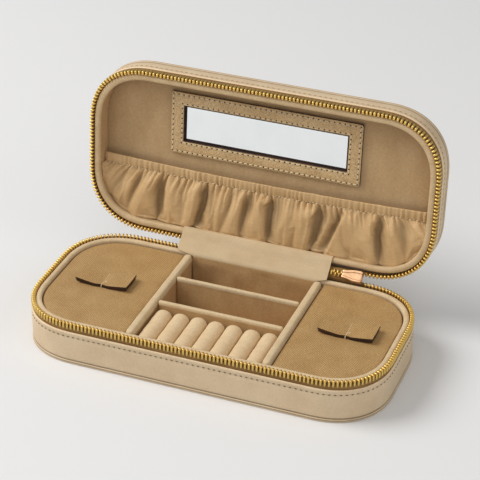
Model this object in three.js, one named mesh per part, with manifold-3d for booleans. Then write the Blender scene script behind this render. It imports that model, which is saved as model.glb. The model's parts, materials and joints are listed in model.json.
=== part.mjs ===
// Travel jewelry case: a zip-round case with rounded ends, standing open.
// Millimetres, +Z up, +X along the long side, +Y to the back where the hinge is.
// The origin is the centre of the underside, on the surface that the case stands on.
import * as THREE from "three";
import { mergeVertices } from "three/addons/utils/BufferGeometryUtils.js";
import Module from "manifold-3d";

// ---- Driving dimensions ----
const LENGTH = 240; // over the welt, along X
const DEPTH = 115; // over the welt, along Y
const CORNER_RADIUS = 42;
const CORNER_POWER = 2.3; // 2 would be a circular corner; this one is slightly squarer
const CORNER_STEPS = 8;
const CURVE_FACETS = 8; // along a round profile
const GAP = 0.3; // between pieces that touch
const OVERSHOOT = 1; // how far a cutting block runs past what it cuts
const BACK = DEPTH / 2; // y of the back of the welt

// Layers of the side wall, as distances in from the welt's outline
const LEATHER = { outer: 0.4, inner: 1.3 };
const TAPE = { outer: 1.5, inner: 2.1 };
const TEETH = { outer: 0.6, inner: 3.0 };
const CORE = { outer: 2.4, inner: 4.1 };
const LINING = { outer: 4.4, inner: 6.9 };
const RIM = { outer: 4.8, inner: 7.0 };
const WELT = { outer: 0, inner: 2.4 };

// Rounding of the edges of plates and rings
const PANEL_ROUND = 0.3;
const WELT_ROUND = 0.9;
const RIM_ROUND = 0.8;

// Heights in the base, from the underside
const BOTTOM_PANEL_TOP = 2.2;
const WELT_HEIGHT = 2.2;
const WELT_LIFT = 0.15; // the welt stays this far inside the panel's outer face
const WALL_BOTTOM = 2.65;
const BASE_WALL_TOP = 23.6;
const CORE_TOP = 25.6;
const FLOOR_TOP = 4.6;
const BASE_TAPE = { low: 16, high: 27 };
const BASE_TEETH = { low: BASE_TAPE.high + GAP, high: 29.6 };
const RIM_TOP = 28.9;
const RIM_THICKNESS = 2.2;

// Heights in the lid, from its mating plane, growing towards the lid's outer panel
const LID_PLANE = 30.2; // height of the lid's mating plane when it is shut
const LID_TEETH = { low: 0.6, high: 2.9 };
const LID_TAPE = { low: 3.2, high: 12 };
const LID_WALL = { low: 7.6, high: 18.15 };
const LID_CORE = { low: 4.6, high: 18.3 };
const LID_RIM_LOW = 1.3;
const LID_LINING = { low: 16.5, high: 18.3 };
const LID_PANEL = { low: 18.6, high: 20.8 };

// Soft hinge along the back
const HINGE = { y: 59, z: 30.4 };
const OPEN_ANGLE = 95; // degrees from shut
const HINGE_LEFT = -51;
const HINGE_RIGHT = 53;
const GUSSET = {
  thick: 0.7,
  toDivider: 0.4,
  toHinge: 1.8,
  baseFlap: 29.15,
  baseDrop: { low: 10, high: 29.5 },
  lidFlap: 0.2,
  lidDrop: { low: 0.5, high: 4.5 },
};
const SPINE = {
  within: 0.1,
  proud: 0.8,
  base: { low: 14, high: 29.7 },
  lid: { low: 0.5, high: 13 },
};

// Tray
const DIVIDER = { left: -42, right: 48, width: 5.6, top: 29.3, end: 49 };
const CROSS = { rear: 20.3, front: -9.8, width: 3, top: 28.7 };
const ROLL = { count: 7, radius: 5.85, top: 26.5, front: -50.2, rear: -11.9, round: 4 };
const ROLL_FACETS = 14;
const ROLL_END_STEPS = 3;
const ROLL_BASE_TOP = 14.4;

// Bay covers, with a bow-shaped leather pull on each
const COVER = { inset: 8.4, bottom: 24.8, top: 27, gap: 1.0, round: 0.5 };
const TAB = { length: 35.5, width: 16.5, thick: 1.4, lift: 1.2, curl: 1.6, steps: 8 };
const TAB_LEFT = { x: -80, y: 0 };
const TAB_RIGHT = { x: 84, y: 2 };

// Mirror in the lid
const MIRROR = { left: -67, right: 64, top: -41.6, bottom: 1.7, border: 9.4 };
const MIRROR_FACE = 13.8;
const MIRROR_STEP = 15.0;
const MIRROR_REBATE = 2.6; // how far the glass reaches behind the frame

// Gathered pocket in the lid
const POCKET = {
  inset: 7.3,
  mouth: 9.4,
  bandWidth: 7.4,
  face: 10.8,
  belly: 8.9,
  thick: 1.2,
  swellTop: 7,
  swellBottom: 6,
};

// Zip slider, parked at the right-hand end of the back
const SLIDER = {
  left: 61,
  right: 75,
  plate: 1,
  halfOuter: 3.8,
  halfInner: 2.8,
  insideGap: 0.4,
  outsideSink: 0.2,
  postLength: 3.5,
  postHalf: 1.6,
};
const TEETH_END_GAP = 0.4; // from the hinge's ends to the first tooth
const SLIDER_SPACE = 1; // left free of teeth beyond the slider
const CHAIN_LEFT = HINGE_RIGHT + TEETH_END_GAP;
const CHAIN_HALF = 2.8;
const STOP = { length: 1.6, half: 2, baseTop: 28.85, lidLow: 1.3 };
const BAIL = { y: 61.4, bar: 1, wide: 1.6, footInset: 2, footLength: 1.2 };
const PULL = {
  length: 24,
  width: 7,
  thick: 1.4,
  eye: 2.1,
  eyeHole: 1.2,
  eyeThick: 2,
  eyeFacets: 20,
  tagGap: 0.6,
  neckEnd: 1.2,
  neckStart: 0.3,
};

const LOOKS = {
  leather: { color: 0xc9b391, roughness: 0.55 },
  saffiano: { color: 0xb7976b, roughness: 0.5 },
  suede: { color: 0xa98c63, roughness: 0.95 },
  creamSuede: { color: 0xd9c6a2, roughness: 0.95 },
  tape: { color: 0x8f7437, roughness: 0.85 },
  brass: { color: 0xd0a548, roughness: 0.3, metalness: 1 },
  roseGold: { color: 0xe2b78c, roughness: 0.25, metalness: 1 },
  pocket: { color: 0xb99665, roughness: 0.7 },
  board: { color: 0x8a8278, roughness: 0.9 },
  mirror: { color: 0xdfe3e6, roughness: 0.05, metalness: 1 },
};

// ---- Solids ----
const wasm = await Module();
wasm.setup();

function toSolid(geometry) {
  const bare = geometry.clone();
  bare.deleteAttribute("normal");
  bare.deleteAttribute("uv");
  const merged = mergeVertices(bare, 1e-4);
  const vertProperties = new Float32Array(merged.attributes.position.array);
  const triVerts = new Uint32Array(merged.index.array);
  return new wasm.Manifold(new wasm.Mesh({ numProp: 3, vertProperties, triVerts }));
}

function toGeometry(solid) {
  const mesh = solid.getMesh();
  const geometry = new THREE.BufferGeometry();
  geometry.setAttribute("position", new THREE.BufferAttribute(mesh.vertProperties, 3));
  geometry.setIndex(new THREE.BufferAttribute(mesh.triVerts, 1));
  geometry.computeVertexNormals();
  return geometry;
}

function cut(geometry, ...tools) {
  return toGeometry(tools.reduce((solid, tool) => solid.subtract(toSolid(tool)), toSolid(geometry)));
}

function join(geometry, ...others) {
  return toGeometry(others.reduce((solid, other) => solid.add(toSolid(other)), toSolid(geometry)));
}

function overlapOf(geometry, other) {
  return toGeometry(toSolid(geometry).intersect(toSolid(other)));
}

function box([x0, x1], [y0, y1], [z0, z1]) {
  const geometry = new THREE.BoxGeometry(x1 - x0, y1 - y0, z1 - z0);
  return geometry.translate((x0 + x1) / 2, (y0 + y1) / 2, (z0 + z1) / 2);
}

// ---- Outline of the case ----
// Points counter-clockwise, a distance in from the welt's outline.
function outline(inset) {
  const radius = CORNER_RADIUS - inset;
  const cx = LENGTH / 2 - CORNER_RADIUS;
  const cy = DEPTH / 2 - CORNER_RADIUS;
  const swell = (value) => Math.sign(value) * Math.abs(value) ** (2 / CORNER_POWER);
  const points = [];
  for (let corner = 0; corner < 4; corner++) {
    const sx = corner === 0 || corner === 3 ? 1 : -1;
    const sy = corner < 2 ? 1 : -1;
    for (let step = 0; step <= CORNER_STEPS; step++) {
      const angle = ((corner + step / CORNER_STEPS) * Math.PI) / 2;
      const x = sx * cx + radius * swell(Math.cos(angle));
      const y = sy * cy + radius * swell(Math.sin(angle));
      points.push(new THREE.Vector2(x, y));
    }
  }
  return points;
}

// A prism of the shape between two heights, its edges rounded by `round`.
function prism(shape, low, high, round = 0) {
  const geometry = new THREE.ExtrudeGeometry(shape, {
    depth: high - low - 2 * round,
    bevelEnabled: round > 0,
    bevelThickness: round,
    bevelSize: round,
    bevelOffset: -round,
    bevelSegments: 1,
  });
  return geometry.translate(0, 0, low + round);
}

function plate(inset, low, high, round = 0) {
  return prism(new THREE.Shape(outline(inset)), low, high, round);
}

function ring(layer, low, high, round = 0) {
  const shape = new THREE.Shape(outline(layer.outer));
  shape.holes.push(new THREE.Path(outline(layer.inner)));
  return prism(shape, low, high, round);
}

// A ring left open along the back between two x positions.
function openRing(layer, { low, high }, fromX, toX) {
  const across = [low - OVERSHOOT, high + OVERSHOOT];
  return cut(ring(layer, low, high), box([fromX, toX], [DEPTH / 4, BACK + OVERSHOOT], across));
}

function makeTapeRing(heights) {
  return openRing(TAPE, heights, HINGE_LEFT, HINGE_RIGHT);
}

function makeTeethRing(heights) {
  return openRing(TEETH, heights, HINGE_LEFT - TEETH_END_GAP, SLIDER.right + SLIDER_SPACE);
}

function extruded(shape, depth) {
  return new THREE.ExtrudeGeometry(shape, { depth, bevelEnabled: false, curveSegments: CURVE_FACETS });
}

// A profile drawn in X and Z, run along Y from front to rear.
function runAlongY(shape, front, rear) {
  return extruded(shape, rear - front).rotateX(Math.PI / 2).translate(0, rear, 0);
}

// A profile drawn in Y and Z, run along X from left to right.
function runAlongX(shape, left, right) {
  const upright = extruded(shape, right - left).rotateX(Math.PI / 2);
  return upright.rotateZ(Math.PI / 2).translate(left, 0, 0);
}

// An upright wall profile with a round top.
function roundTopped(centre, width, low, high) {
  const half = width / 2;
  const shape = new THREE.Shape();
  shape.moveTo(centre - half, low);
  shape.lineTo(centre + half, low);
  shape.lineTo(centre + half, high - half);
  shape.absarc(centre, high - half, half, 0, Math.PI, false);
  return shape;
}

function polygon(points) {
  return new THREE.Shape(points.map(([x, y]) => new THREE.Vector2(x, y)));
}

// ---- Pieces ----
function piece(name, look, geometry) {
  const material = new THREE.MeshStandardMaterial({ metalness: 0, ...LOOKS[look] });
  const mesh = new THREE.Mesh(geometry, material);
  mesh.name = name;
  return mesh;
}

function makeBaseShell() {
  const weltHigh = WELT_LIFT + WELT_HEIGHT;
  const rimLow = RIM_TOP - RIM_THICKNESS;
  return [
    piece("base_bottom_panel", "leather", plate(WELT.inner + GAP, 0, BOTTOM_PANEL_TOP, PANEL_ROUND)),
    piece("base_bottom_welt", "leather", ring(WELT, WELT_LIFT, weltHigh, WELT_ROUND)),
    piece("base_outer_wall", "leather", ring(LEATHER, WALL_BOTTOM, BASE_WALL_TOP)),
    piece("base_shell_core", "board", ring(CORE, WALL_BOTTOM, CORE_TOP)),
    piece("base_zip_tape", "tape", makeTapeRing(BASE_TAPE)),
    piece("base_zip_teeth", "brass", makeTeethRing(BASE_TEETH)),
    piece("base_inner_wall", "creamSuede", ring(LINING, FLOOR_TOP + GAP, rimLow - GAP)),
    piece("base_rim_padding", "creamSuede", ring(RIM, rimLow, RIM_TOP, RIM_ROUND)),
    piece("base_floor_lining", "suede", plate(LINING.outer, BOTTOM_PANEL_TOP + GAP, FLOOR_TOP)),
  ];
}

function makeTray() {
  const low = FLOOR_TOP + GAP;
  const half = DIVIDER.width / 2;
  const bay = { left: DIVIDER.left + half + GAP, right: DIVIDER.right - half - GAP };
  const wallInside = BACK - LINING.inner - GAP;
  const divider = (x) => {
    return runAlongY(roundTopped(x, DIVIDER.width, low, DIVIDER.top), -wallInside, DIVIDER.end);
  };
  const crossDivider = (y) => {
    return runAlongX(roundTopped(y, CROSS.width, low, CROSS.top), bay.left, bay.right);
  };
  const rollBase = box(
    [bay.left, bay.right],
    [-wallInside, CROSS.front - CROSS.width / 2 - GAP],
    [low, ROLL_BASE_TOP],
  );
  return [
    piece("divider_left", "creamSuede", divider(DIVIDER.left)),
    piece("divider_right", "creamSuede", divider(DIVIDER.right)),
    piece("cross_divider_rear", "creamSuede", crossDivider(CROSS.rear)),
    piece("cross_divider_front", "creamSuede", crossDivider(CROSS.front)),
    piece("ring_roll_base", "suede", rollBase),
    ...makeRingRolls(bay),
  ];
}

// Round-ended padded rolls side by side; rings are pushed down between them.
function makeRingRolls(bay) {
  const { count, radius, top, front, rear, round } = ROLL;
  const pitch = (bay.right - bay.left) / count;
  const profile = [new THREE.Vector2(0, front)];
  for (const [end, side] of [
    [front, 1],
    [rear, -1],
  ]) {
    for (let step = 0; step <= ROLL_END_STEPS; step++) {
      const turn = side > 0 ? step / ROLL_END_STEPS : 1 - step / ROLL_END_STEPS;
      const angle = (turn * Math.PI) / 2;
      const r = radius - round + round * Math.sin(angle);
      profile.push(new THREE.Vector2(r, end + side * round * (1 - Math.cos(angle))));
    }
  }
  profile.push(new THREE.Vector2(0, rear));
  return Array.from({ length: count }, (_, index) => {
    const turned = new THREE.LatheGeometry(profile, ROLL_FACETS);
    const roll = piece(`ring_roll_${index + 1}`, "creamSuede", turned);
    roll.position.set(bay.left + pitch * (index + 0.5), 0, top - radius);
    return roll;
  });
}

// One half of the soft hinge: the gusset's flap and drop, the spine outside, and the teeth's end stop.
function makeHingeHalf(name, dropAcross, flapLow, dropHeights, spineHeights, stopHeights) {
  const front = DIVIDER.end + GUSSET.toDivider;
  const across = [HINGE_LEFT, HINGE_RIGHT];
  const flap = box(across, [front, HINGE.y - GUSSET.toHinge], [flapLow, flapLow + GUSSET.thick]);
  const drop = box(dropAcross, [front, front + GUSSET.thick], dropHeights);
  const spine = box(across, [BACK - SPINE.within, BACK + SPINE.proud], spineHeights);
  const stopLeft = HINGE_LEFT + GAP;
  const stop = box(
    [stopLeft, stopLeft + STOP.length],
    [BACK - TEETH.inner, BACK - TEETH.outer],
    stopHeights,
  );
  return [
    piece(`hinge_gusset_${name}`, "creamSuede", join(flap, drop)),
    piece(`hinge_spine_${name}`, "leather", spine),
    piece(`zip_top_stop_${name}`, "brass", stop),
  ];
}

// In the base the drop is the centre bay's rear wall, as wide as the two dividers are apart.
function makeHingeBase() {
  const half = DIVIDER.width / 2;
  return makeHingeHalf(
    "base",
    [DIVIDER.left - half, DIVIDER.right + half],
    GUSSET.baseFlap,
    [GUSSET.baseDrop.low, GUSSET.baseDrop.high],
    [SPINE.base.low, SPINE.base.high],
    [BASE_TEETH.low, STOP.baseTop],
  );
}

function makeHingeLid() {
  return makeHingeHalf(
    "lid",
    [HINGE_LEFT, HINGE_RIGHT],
    GUSSET.lidFlap,
    [GUSSET.lidDrop.low, GUSSET.lidDrop.high],
    [SPINE.lid.low, SPINE.lid.high],
    [STOP.lidLow, LID_TEETH.high],
  );
}

// The cover's outline is the tray's, cut off beside the divider; side is -1 for left, 1 for right.
function makeCover(side, tab) {
  const half = DIVIDER.width / 2;
  const edge = side < 0 ? DIVIDER.left - half - COVER.gap : DIVIDER.right + half + COVER.gap;
  const away = side < 0 ? [edge, LENGTH] : [-LENGTH, edge];
  const board = cut(
    plate(COVER.inset, COVER.bottom, COVER.top, COVER.round),
    box(away, [-DEPTH, DEPTH], [COVER.bottom - OVERSHOOT, COVER.top + OVERSHOOT]),
  );
  const name = side < 0 ? "left" : "right";
  const bow = piece(`cover_tab_${name}`, "saffiano", makeBow());
  bow.position.set(tab.x, tab.y, COVER.top + GAP);
  return [piece(`cover_board_${name}`, "saffiano", board), bow];
}

// A flattened loop of leather strip: thin at its stitched middle, its two ends lifted.
function makeBow() {
  const lower = [];
  const upper = [];
  for (let step = 0; step <= TAB.steps; step++) {
    const along = (2 * step) / TAB.steps - 1;
    const rise = TAB.lift * Math.abs(along) ** TAB.curl;
    lower.push([(along * TAB.length) / 2, rise]);
    upper.unshift([(along * TAB.length) / 2, rise + TAB.thick]);
  }
  return runAlongY(polygon([...lower, ...upper]), -TAB.width / 2, TAB.width / 2);
}

function makeLidShell() {
  const panel = plate(WELT.inner + GAP, LID_PANEL.low, LID_PANEL.high, PANEL_ROUND);
  const weltHigh = LID_PANEL.high - WELT_LIFT;
  const rimHigh = LID_RIM_LOW + RIM_THICKNESS;
  return [
    piece("lid_top_panel", "leather", panel),
    piece("lid_top_welt", "leather", ring(WELT, weltHigh - WELT_HEIGHT, weltHigh, WELT_ROUND)),
    piece("lid_outer_wall", "leather", ring(LEATHER, LID_WALL.low, LID_WALL.high)),
    piece("lid_shell_core", "board", ring(CORE, LID_CORE.low, LID_CORE.high)),
    piece("lid_zip_tape", "tape", makeTapeRing(LID_TAPE)),
    piece("lid_zip_teeth", "brass", makeTeethRing(LID_TEETH)),
    piece("lid_rim_padding", "creamSuede", ring(RIM, LID_RIM_LOW, rimHigh, RIM_ROUND)),
    piece("lid_inner_wall", "creamSuede", ring(LINING, rimHigh + GAP, LID_LINING.low - GAP)),
    piece("lid_lining_panel", "suede", plate(LINING.outer, LID_LINING.low, LID_LINING.high)),
  ];
}

function makeMirror() {
  const { left, right, top, bottom, border } = MIRROR;
  const opening = [
    [left + border, right - border],
    [top + border, bottom - border],
  ];
  const grown = (range, by) => [range[0] - by, range[1] + by];
  const rebate = opening.map((range) => grown(range, MIRROR_REBATE));
  const seat = opening.map((range) => grown(range, MIRROR_REBATE - GAP));
  const frame = box([left, right], [top, bottom], [MIRROR_FACE, MIRROR_STEP]);
  const backing = box([left, right], [top, bottom], [MIRROR_STEP + GAP, LID_LINING.low - GAP]);
  const through = [MIRROR_FACE - OVERSHOOT, LID_LINING.low + OVERSHOOT];
  return [
    piece("mirror_frame", "saffiano", cut(frame, box(...opening, through))),
    piece("mirror_backing", "board", cut(backing, box(...rebate, through))),
    piece("mirror_glass", "mirror", box(...seat, [MIRROR_STEP + GAP, LID_LINING.low - GAP])),
  ];
}

// The pocket's front hangs from an elastic casing; its mouth is held a little open.
function makePocket() {
  const { inset, mouth, bandWidth, face, belly, thick, swellTop, swellBottom } = POCKET;
  const rear = BACK - inset;
  const within = plate(inset, belly - 2 * OVERSHOOT, LID_LINING.low);
  const fabricTop = mouth + bandWidth + GAP;
  const front = [
    [fabricTop, face],
    [fabricTop + swellTop, belly],
    [rear - swellBottom, belly],
    [rear + OVERSHOOT, face],
  ];
  const back = front.map(([y, z]) => [y, z + thick]).reverse();
  const sheet = runAlongX(polygon([...front, ...back]), -LENGTH / 2, LENGTH / 2);
  const band = box([-LENGTH / 2, LENGTH / 2], [mouth, mouth + bandWidth], [face, face + thick]);
  return [
    piece("pocket_fabric", "pocket", overlapOf(within, sheet)),
    piece("pocket_elastic_band", "pocket", overlapOf(within, band)),
  ];
}

// The few teeth that stay engaged beside the hinge, and the stop that ends them.
function makeZipChain() {
  const across = [BACK - TEETH.inner, BACK - TEETH.outer];
  const about = (half) => [LID_PLANE - half, LID_PLANE + half];
  const stopRight = CHAIN_LEFT + STOP.length;
  const teethAlong = [stopRight + GAP, SLIDER.left + GAP];
  return [
    piece("zip_bottom_stop", "brass", box([CHAIN_LEFT, stopRight], across, about(STOP.half))),
    piece("zip_chain_engaged", "brass", box(teethAlong, across, about(CHAIN_HALF))),
  ];
}

// Two plates, one inside and one outside the chain, joined by a post in the fork.
function makeSlider() {
  const { left, right, plate: thick, halfOuter, halfInner, postLength, postHalf } = SLIDER;
  const insideFace = BACK - TEETH.inner - SLIDER.insideGap;
  const outsideFace = BACK - SLIDER.outsideSink;
  const innerPlate = box(
    [left, right],
    [insideFace - thick, insideFace],
    [LID_PLANE - halfInner, LID_PLANE + halfInner],
  );
  const outerPlate = box(
    [left, right],
    [outsideFace, outsideFace + thick],
    [LID_PLANE - halfOuter, LID_PLANE + halfOuter],
  );
  const post = box(
    [right - postLength, right],
    [insideFace - thick / 2, outsideFace + thick / 2],
    [LID_PLANE - postHalf, LID_PLANE + postHalf],
  );
  const wide = [LID_PLANE - BAIL.wide / 2, LID_PLANE + BAIL.wide / 2];
  const footLow = outsideFace + thick + GAP;
  const start = left + BAIL.footInset;
  const end = right - BAIL.footInset;
  const bar = box([start, end], [BAIL.y - BAIL.bar / 2, BAIL.y + BAIL.bar / 2], wide);
  const foot = (x) => box([x, x + BAIL.footLength], [footLow, BAIL.y], wide);
  return [
    piece("zip_slider_body", "roseGold", join(innerPlate, post, outerPlate)),
    piece("zip_slider_bail", "roseGold", join(bar, foot(start), foot(end - BAIL.footLength))),
  ];
}

// A tag with an eye round the bail's bar, hanging straight down.
function makePull() {
  const { length, width, thick, eye, eyeHole, eyeThick, eyeFacets, tagGap, neckStart, neckEnd } = PULL;
  const barrel = (radius, long) => {
    return new THREE.CylinderGeometry(radius, radius, long, eyeFacets).rotateZ(Math.PI / 2);
  };
  const half = width / 2;
  const tagOutline = new THREE.Shape();
  tagOutline.moveTo(-half, -eye - tagGap);
  tagOutline.lineTo(-half, -length + half);
  tagOutline.absarc(0, -length + half, half, Math.PI, 2 * Math.PI, false);
  tagOutline.lineTo(half, -eye - tagGap);
  const deep = [-thick / 2, thick / 2];
  const tag = runAlongY(tagOutline, ...deep);
  const neck = box([-eyeThick / 2, eyeThick / 2], deep, [-eye - neckEnd, -eyeHole - neckStart]);
  const solid = join(barrel(eye, eyeThick), neck, tag);
  return [piece("zip_pull", "roseGold", cut(solid, barrel(eyeHole, 2 * eyeThick)))];
}

// ---- Assembly ----
// A group turned about the hinge line, holding pieces drawn as they lie in the shut case.
function turnedAboutHinge(degrees, drawnFrom, pieces) {
  const turned = new THREE.Group();
  turned.position.set(0, HINGE.y, HINGE.z);
  turned.rotation.x = -THREE.MathUtils.degToRad(degrees);
  const drawn = new THREE.Group();
  drawn.position.set(0, -HINGE.y, drawnFrom - HINGE.z);
  drawn.add(...pieces);
  turned.add(drawn);
  return turned;
}

const jewelryCase = new THREE.Group();
jewelryCase.add(...makeBaseShell(), ...makeTray(), ...makeHingeBase());
jewelryCase.add(...makeCover(-1, TAB_LEFT), ...makeCover(1, TAB_RIGHT));

const lidPieces = [...makeLidShell(), ...makeMirror(), ...makePocket(), ...makeHingeLid()];
jewelryCase.add(turnedAboutHinge(OPEN_ANGLE, LID_PLANE, lidPieces));

const pull = new THREE.Group();
pull.position.set((SLIDER.left + SLIDER.right) / 2, BAIL.y, LID_PLANE);
pull.rotation.x = THREE.MathUtils.degToRad(OPEN_ANGLE / 2);
pull.add(...makePull());
jewelryCase.add(turnedAboutHinge(OPEN_ANGLE / 2, 0, [...makeZipChain(), ...makeSlider(), pull]));

export default jewelryCase;
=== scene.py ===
import json
import math

import bmesh
import bpy
import numpy as np
from mathutils import Matrix, Vector

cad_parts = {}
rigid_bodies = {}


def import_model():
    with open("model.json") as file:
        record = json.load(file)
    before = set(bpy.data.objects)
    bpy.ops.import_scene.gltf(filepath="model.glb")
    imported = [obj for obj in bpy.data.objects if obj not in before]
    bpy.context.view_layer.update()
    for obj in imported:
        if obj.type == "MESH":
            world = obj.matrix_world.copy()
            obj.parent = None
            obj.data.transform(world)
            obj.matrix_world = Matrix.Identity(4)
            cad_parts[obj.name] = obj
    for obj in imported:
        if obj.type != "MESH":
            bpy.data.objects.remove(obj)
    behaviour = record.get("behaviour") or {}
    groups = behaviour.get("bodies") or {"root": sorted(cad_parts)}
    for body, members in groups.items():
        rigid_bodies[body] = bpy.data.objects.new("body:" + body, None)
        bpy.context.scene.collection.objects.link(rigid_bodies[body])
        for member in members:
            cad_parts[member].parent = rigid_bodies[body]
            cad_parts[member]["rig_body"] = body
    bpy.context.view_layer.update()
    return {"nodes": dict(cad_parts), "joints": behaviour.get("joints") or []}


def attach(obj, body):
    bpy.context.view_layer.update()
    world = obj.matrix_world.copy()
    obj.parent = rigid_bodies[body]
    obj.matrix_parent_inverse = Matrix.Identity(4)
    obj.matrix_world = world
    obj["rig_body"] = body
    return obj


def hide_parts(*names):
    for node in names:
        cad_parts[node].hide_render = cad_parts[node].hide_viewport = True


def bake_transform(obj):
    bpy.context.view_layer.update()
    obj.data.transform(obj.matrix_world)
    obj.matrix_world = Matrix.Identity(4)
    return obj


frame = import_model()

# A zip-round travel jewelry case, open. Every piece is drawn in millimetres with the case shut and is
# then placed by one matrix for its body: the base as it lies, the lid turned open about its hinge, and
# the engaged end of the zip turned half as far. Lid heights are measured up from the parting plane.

MM = 0.001
LID_PLANE = 30.2
CORNER_RADIUS = 42.0
CORNER_POWER = 2.3
STRAIGHT_STEP = 4.0
CORNER_STEPS = 26
PITCH = 2.52
HINGE_LEFT = -51.0
HINGE_RIGHT = 53.0
TEETH_RIGHT = 76.0

# ---------------------------------------------------------------- placing

hinge = next(joint for joint in frame["joints"] if joint["name"] == "lid_hinge")
PIVOT = Vector(hinge["pos_m"])
OPEN = math.radians(-hinge["range_deg"][0])


def turned(share):
    """From the shut case in millimetres to the open one in metres, turned by a share of the lid's angle."""
    turn = Matrix.Rotation(OPEN * share, 4, Vector(hinge["axis"]))
    return Matrix.Translation(PIVOT) @ turn @ Matrix.Translation(-PIVOT) @ Matrix.Scale(MM, 4)


BASE = Matrix.Scale(MM, 4)
HALF = turned(0.5)
LID = turned(1.0) @ Matrix.Translation((0, 0, LID_PLANE))
PLACE = {
    "base": BASE, "lid": LID, "cover_left": BASE, "cover_right": BASE, "zip_chain": HALF,
    "zip_slider": HALF, "zip_pull": HALF,
}


def span(node):
    """A CAD node's lowest and highest corners in its body's drawing frame, in millimetres."""
    made = frame["nodes"][node]
    back = PLACE[made["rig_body"]].inverted()
    corners = np.array([back @ vertex.co for vertex in made.data.vertices])
    return corners.min(0), corners.max(0)


welt_low, welt_high = span("base_bottom_welt")
LENGTH = welt_high[0] - welt_low[0]
DEPTH = welt_high[1] - welt_low[1]
STRAIGHT_X = LENGTH / 2 - CORNER_RADIUS
STRAIGHT_Y = DEPTH / 2 - CORNER_RADIUS

# ---------------------------------------------------------------- shapes


def travelled(points):
    """How far along a line each of its points lies."""
    return np.r_[0, np.cumsum(np.linalg.norm(np.diff(points, axis=0), axis=1))]


def unit(vectors):
    return vectors / np.maximum(np.linalg.norm(vectors, axis=-1, keepdims=True), 1e-9)


def raised(flat, height):
    """Flat points put at one height."""
    return np.c_[flat, np.full(len(flat), height)]


def bell(value, centre, width):
    return np.exp(-(((value - centre) / width) ** 2))


class Shape:
    """Points with a tone each, and faces with texture places in millimetres and a material number each.
    A tone below 0 darkens, down to -1: the dark of a seam, and painted shade in creases, hollows and corners;
    0 is plain; a tone above 0, up to 1, is a painted highlight on raised edges."""

    def __init__(self):
        self.points, self.faces, self.places, self.looks, self.tones = [], [], [], [], []

    def put(self, points, tones=None):
        """Adds points and returns the number of the first."""
        first = len(self.points)
        points = np.asarray(points, float).reshape(-1, 3)
        self.points.extend(points.tolist())
        self.tones.extend([0.0] * len(points) if tones is None else np.ravel(tones).tolist())
        return first

    def face(self, corners, places, look=0):
        self.faces.append(tuple(corners))
        self.places.extend(places)
        self.looks.append(look)

    def grid(self, rows, around=False, along=False, u=None, v=None, tones=None, caps=False):
        """Rows of points joined by quads. along closes the first row to the last, around closes each row."""
        rows = np.asarray(rows, float)
        n, m = rows.shape[:2]
        first = self.put(rows, tones)
        if u is None:
            u = travelled(np.r_[rows[:, 0], rows[:1, 0]])
        if v is None:
            v = travelled(np.r_[rows[n // 2], rows[n // 2, :1]])
        for i in range(n if along else n - 1):
            for j in range(m if around else m - 1):
                a, b = i * m + j, ((i + 1) % n) * m + j
                c, d = ((i + 1) % n) * m + (j + 1) % m, i * m + (j + 1) % m
                places = (u[i], v[j]), (u[i + 1], v[j]), (u[i + 1], v[j + 1]), (u[i], v[j + 1])
                self.face((first + a, first + b, first + c, first + d), places)
        if caps:
            for i in (0, n - 1):
                self.face([first + i * m + j for j in range(m)], [(p[0], p[1]) for p in rows[i]])
        return first

    def add(self, other):
        shift = len(self.points)
        self.points.extend(other.points)
        self.tones.extend(other.tones)
        self.faces.extend(tuple(shift + k for k in face) for face in other.faces)
        self.places.extend(other.places)
        self.looks.extend(other.looks)
        return self


def fillet(corners, steps=3):
    """A closed outline of corners (x, y, cut), each rounded over the length of its cut."""
    made = []
    for i, (x, y, cut) in enumerate(corners):
        point = np.array((x, y), float)
        before = np.array(corners[i - 1][:2], float) - point
        after = np.array(corners[(i + 1) % len(corners)][:2], float) - point
        reach = min(cut, 0.49 * np.linalg.norm(before), 0.49 * np.linalg.norm(after))
        if reach < 1e-3:
            made.append(point)
            continue
        start = point + before / np.linalg.norm(before) * reach
        end = point + after / np.linalg.norm(after) * reach
        for t in np.linspace(0, 1, steps + 1):
            made.append((1 - t) ** 2 * start + 2 * t * (1 - t) * point + t * t * end)
    return np.array(made)


def smooth(value):
    value = np.clip(value, 0, 1)
    return value * value * (3 - 2 * value)


def spread(start, end, step):
    return np.linspace(start, end, max(2, round(abs(end - start) / step) + 1))


def stations(start=0.0, end=None):
    """Places round the case, counter-clockwise from x = start on the back: a centre and a direction each.
    With no end they run all the way round."""

    def swell(value):
        return math.copysign(abs(value) ** (2 / CORNER_POWER), value)

    rows = []

    def corner(x, y, quarter):
        for t in np.linspace(0, 90, CORNER_STEPS + 1)[:-1]:
            angle = math.radians(90 * quarter + t)
            rows.append((x, y, swell(math.cos(angle)), swell(math.sin(angle))))

    rows += [(x, STRAIGHT_Y, 0, 1) for x in spread(start, -STRAIGHT_X, STRAIGHT_STEP)[:-1]]
    corner(-STRAIGHT_X, STRAIGHT_Y, 1)
    rows += [(-STRAIGHT_X, y, -1, 0) for y in spread(STRAIGHT_Y, -STRAIGHT_Y, STRAIGHT_STEP)[:-1]]
    corner(-STRAIGHT_X, -STRAIGHT_Y, 2)
    rows += [(x, -STRAIGHT_Y, 0, -1) for x in spread(-STRAIGHT_X, STRAIGHT_X, STRAIGHT_STEP)[:-1]]
    corner(STRAIGHT_X, -STRAIGHT_Y, 3)
    rows += [(STRAIGHT_X, y, 1, 0) for y in spread(-STRAIGHT_Y, STRAIGHT_Y, STRAIGHT_STEP)[:-1]]
    corner(STRAIGHT_X, STRAIGHT_Y, 0)
    last = spread(STRAIGHT_X, start if end is None else end, STRAIGHT_STEP)
    rows += [(x, STRAIGHT_Y, 0, 1) for x in (last[:-1] if end is None else last)]
    return np.array(rows)


def inset_line(places, inset):
    return places[:, :2] + (CORNER_RADIUS - inset) * places[:, 2:]


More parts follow.
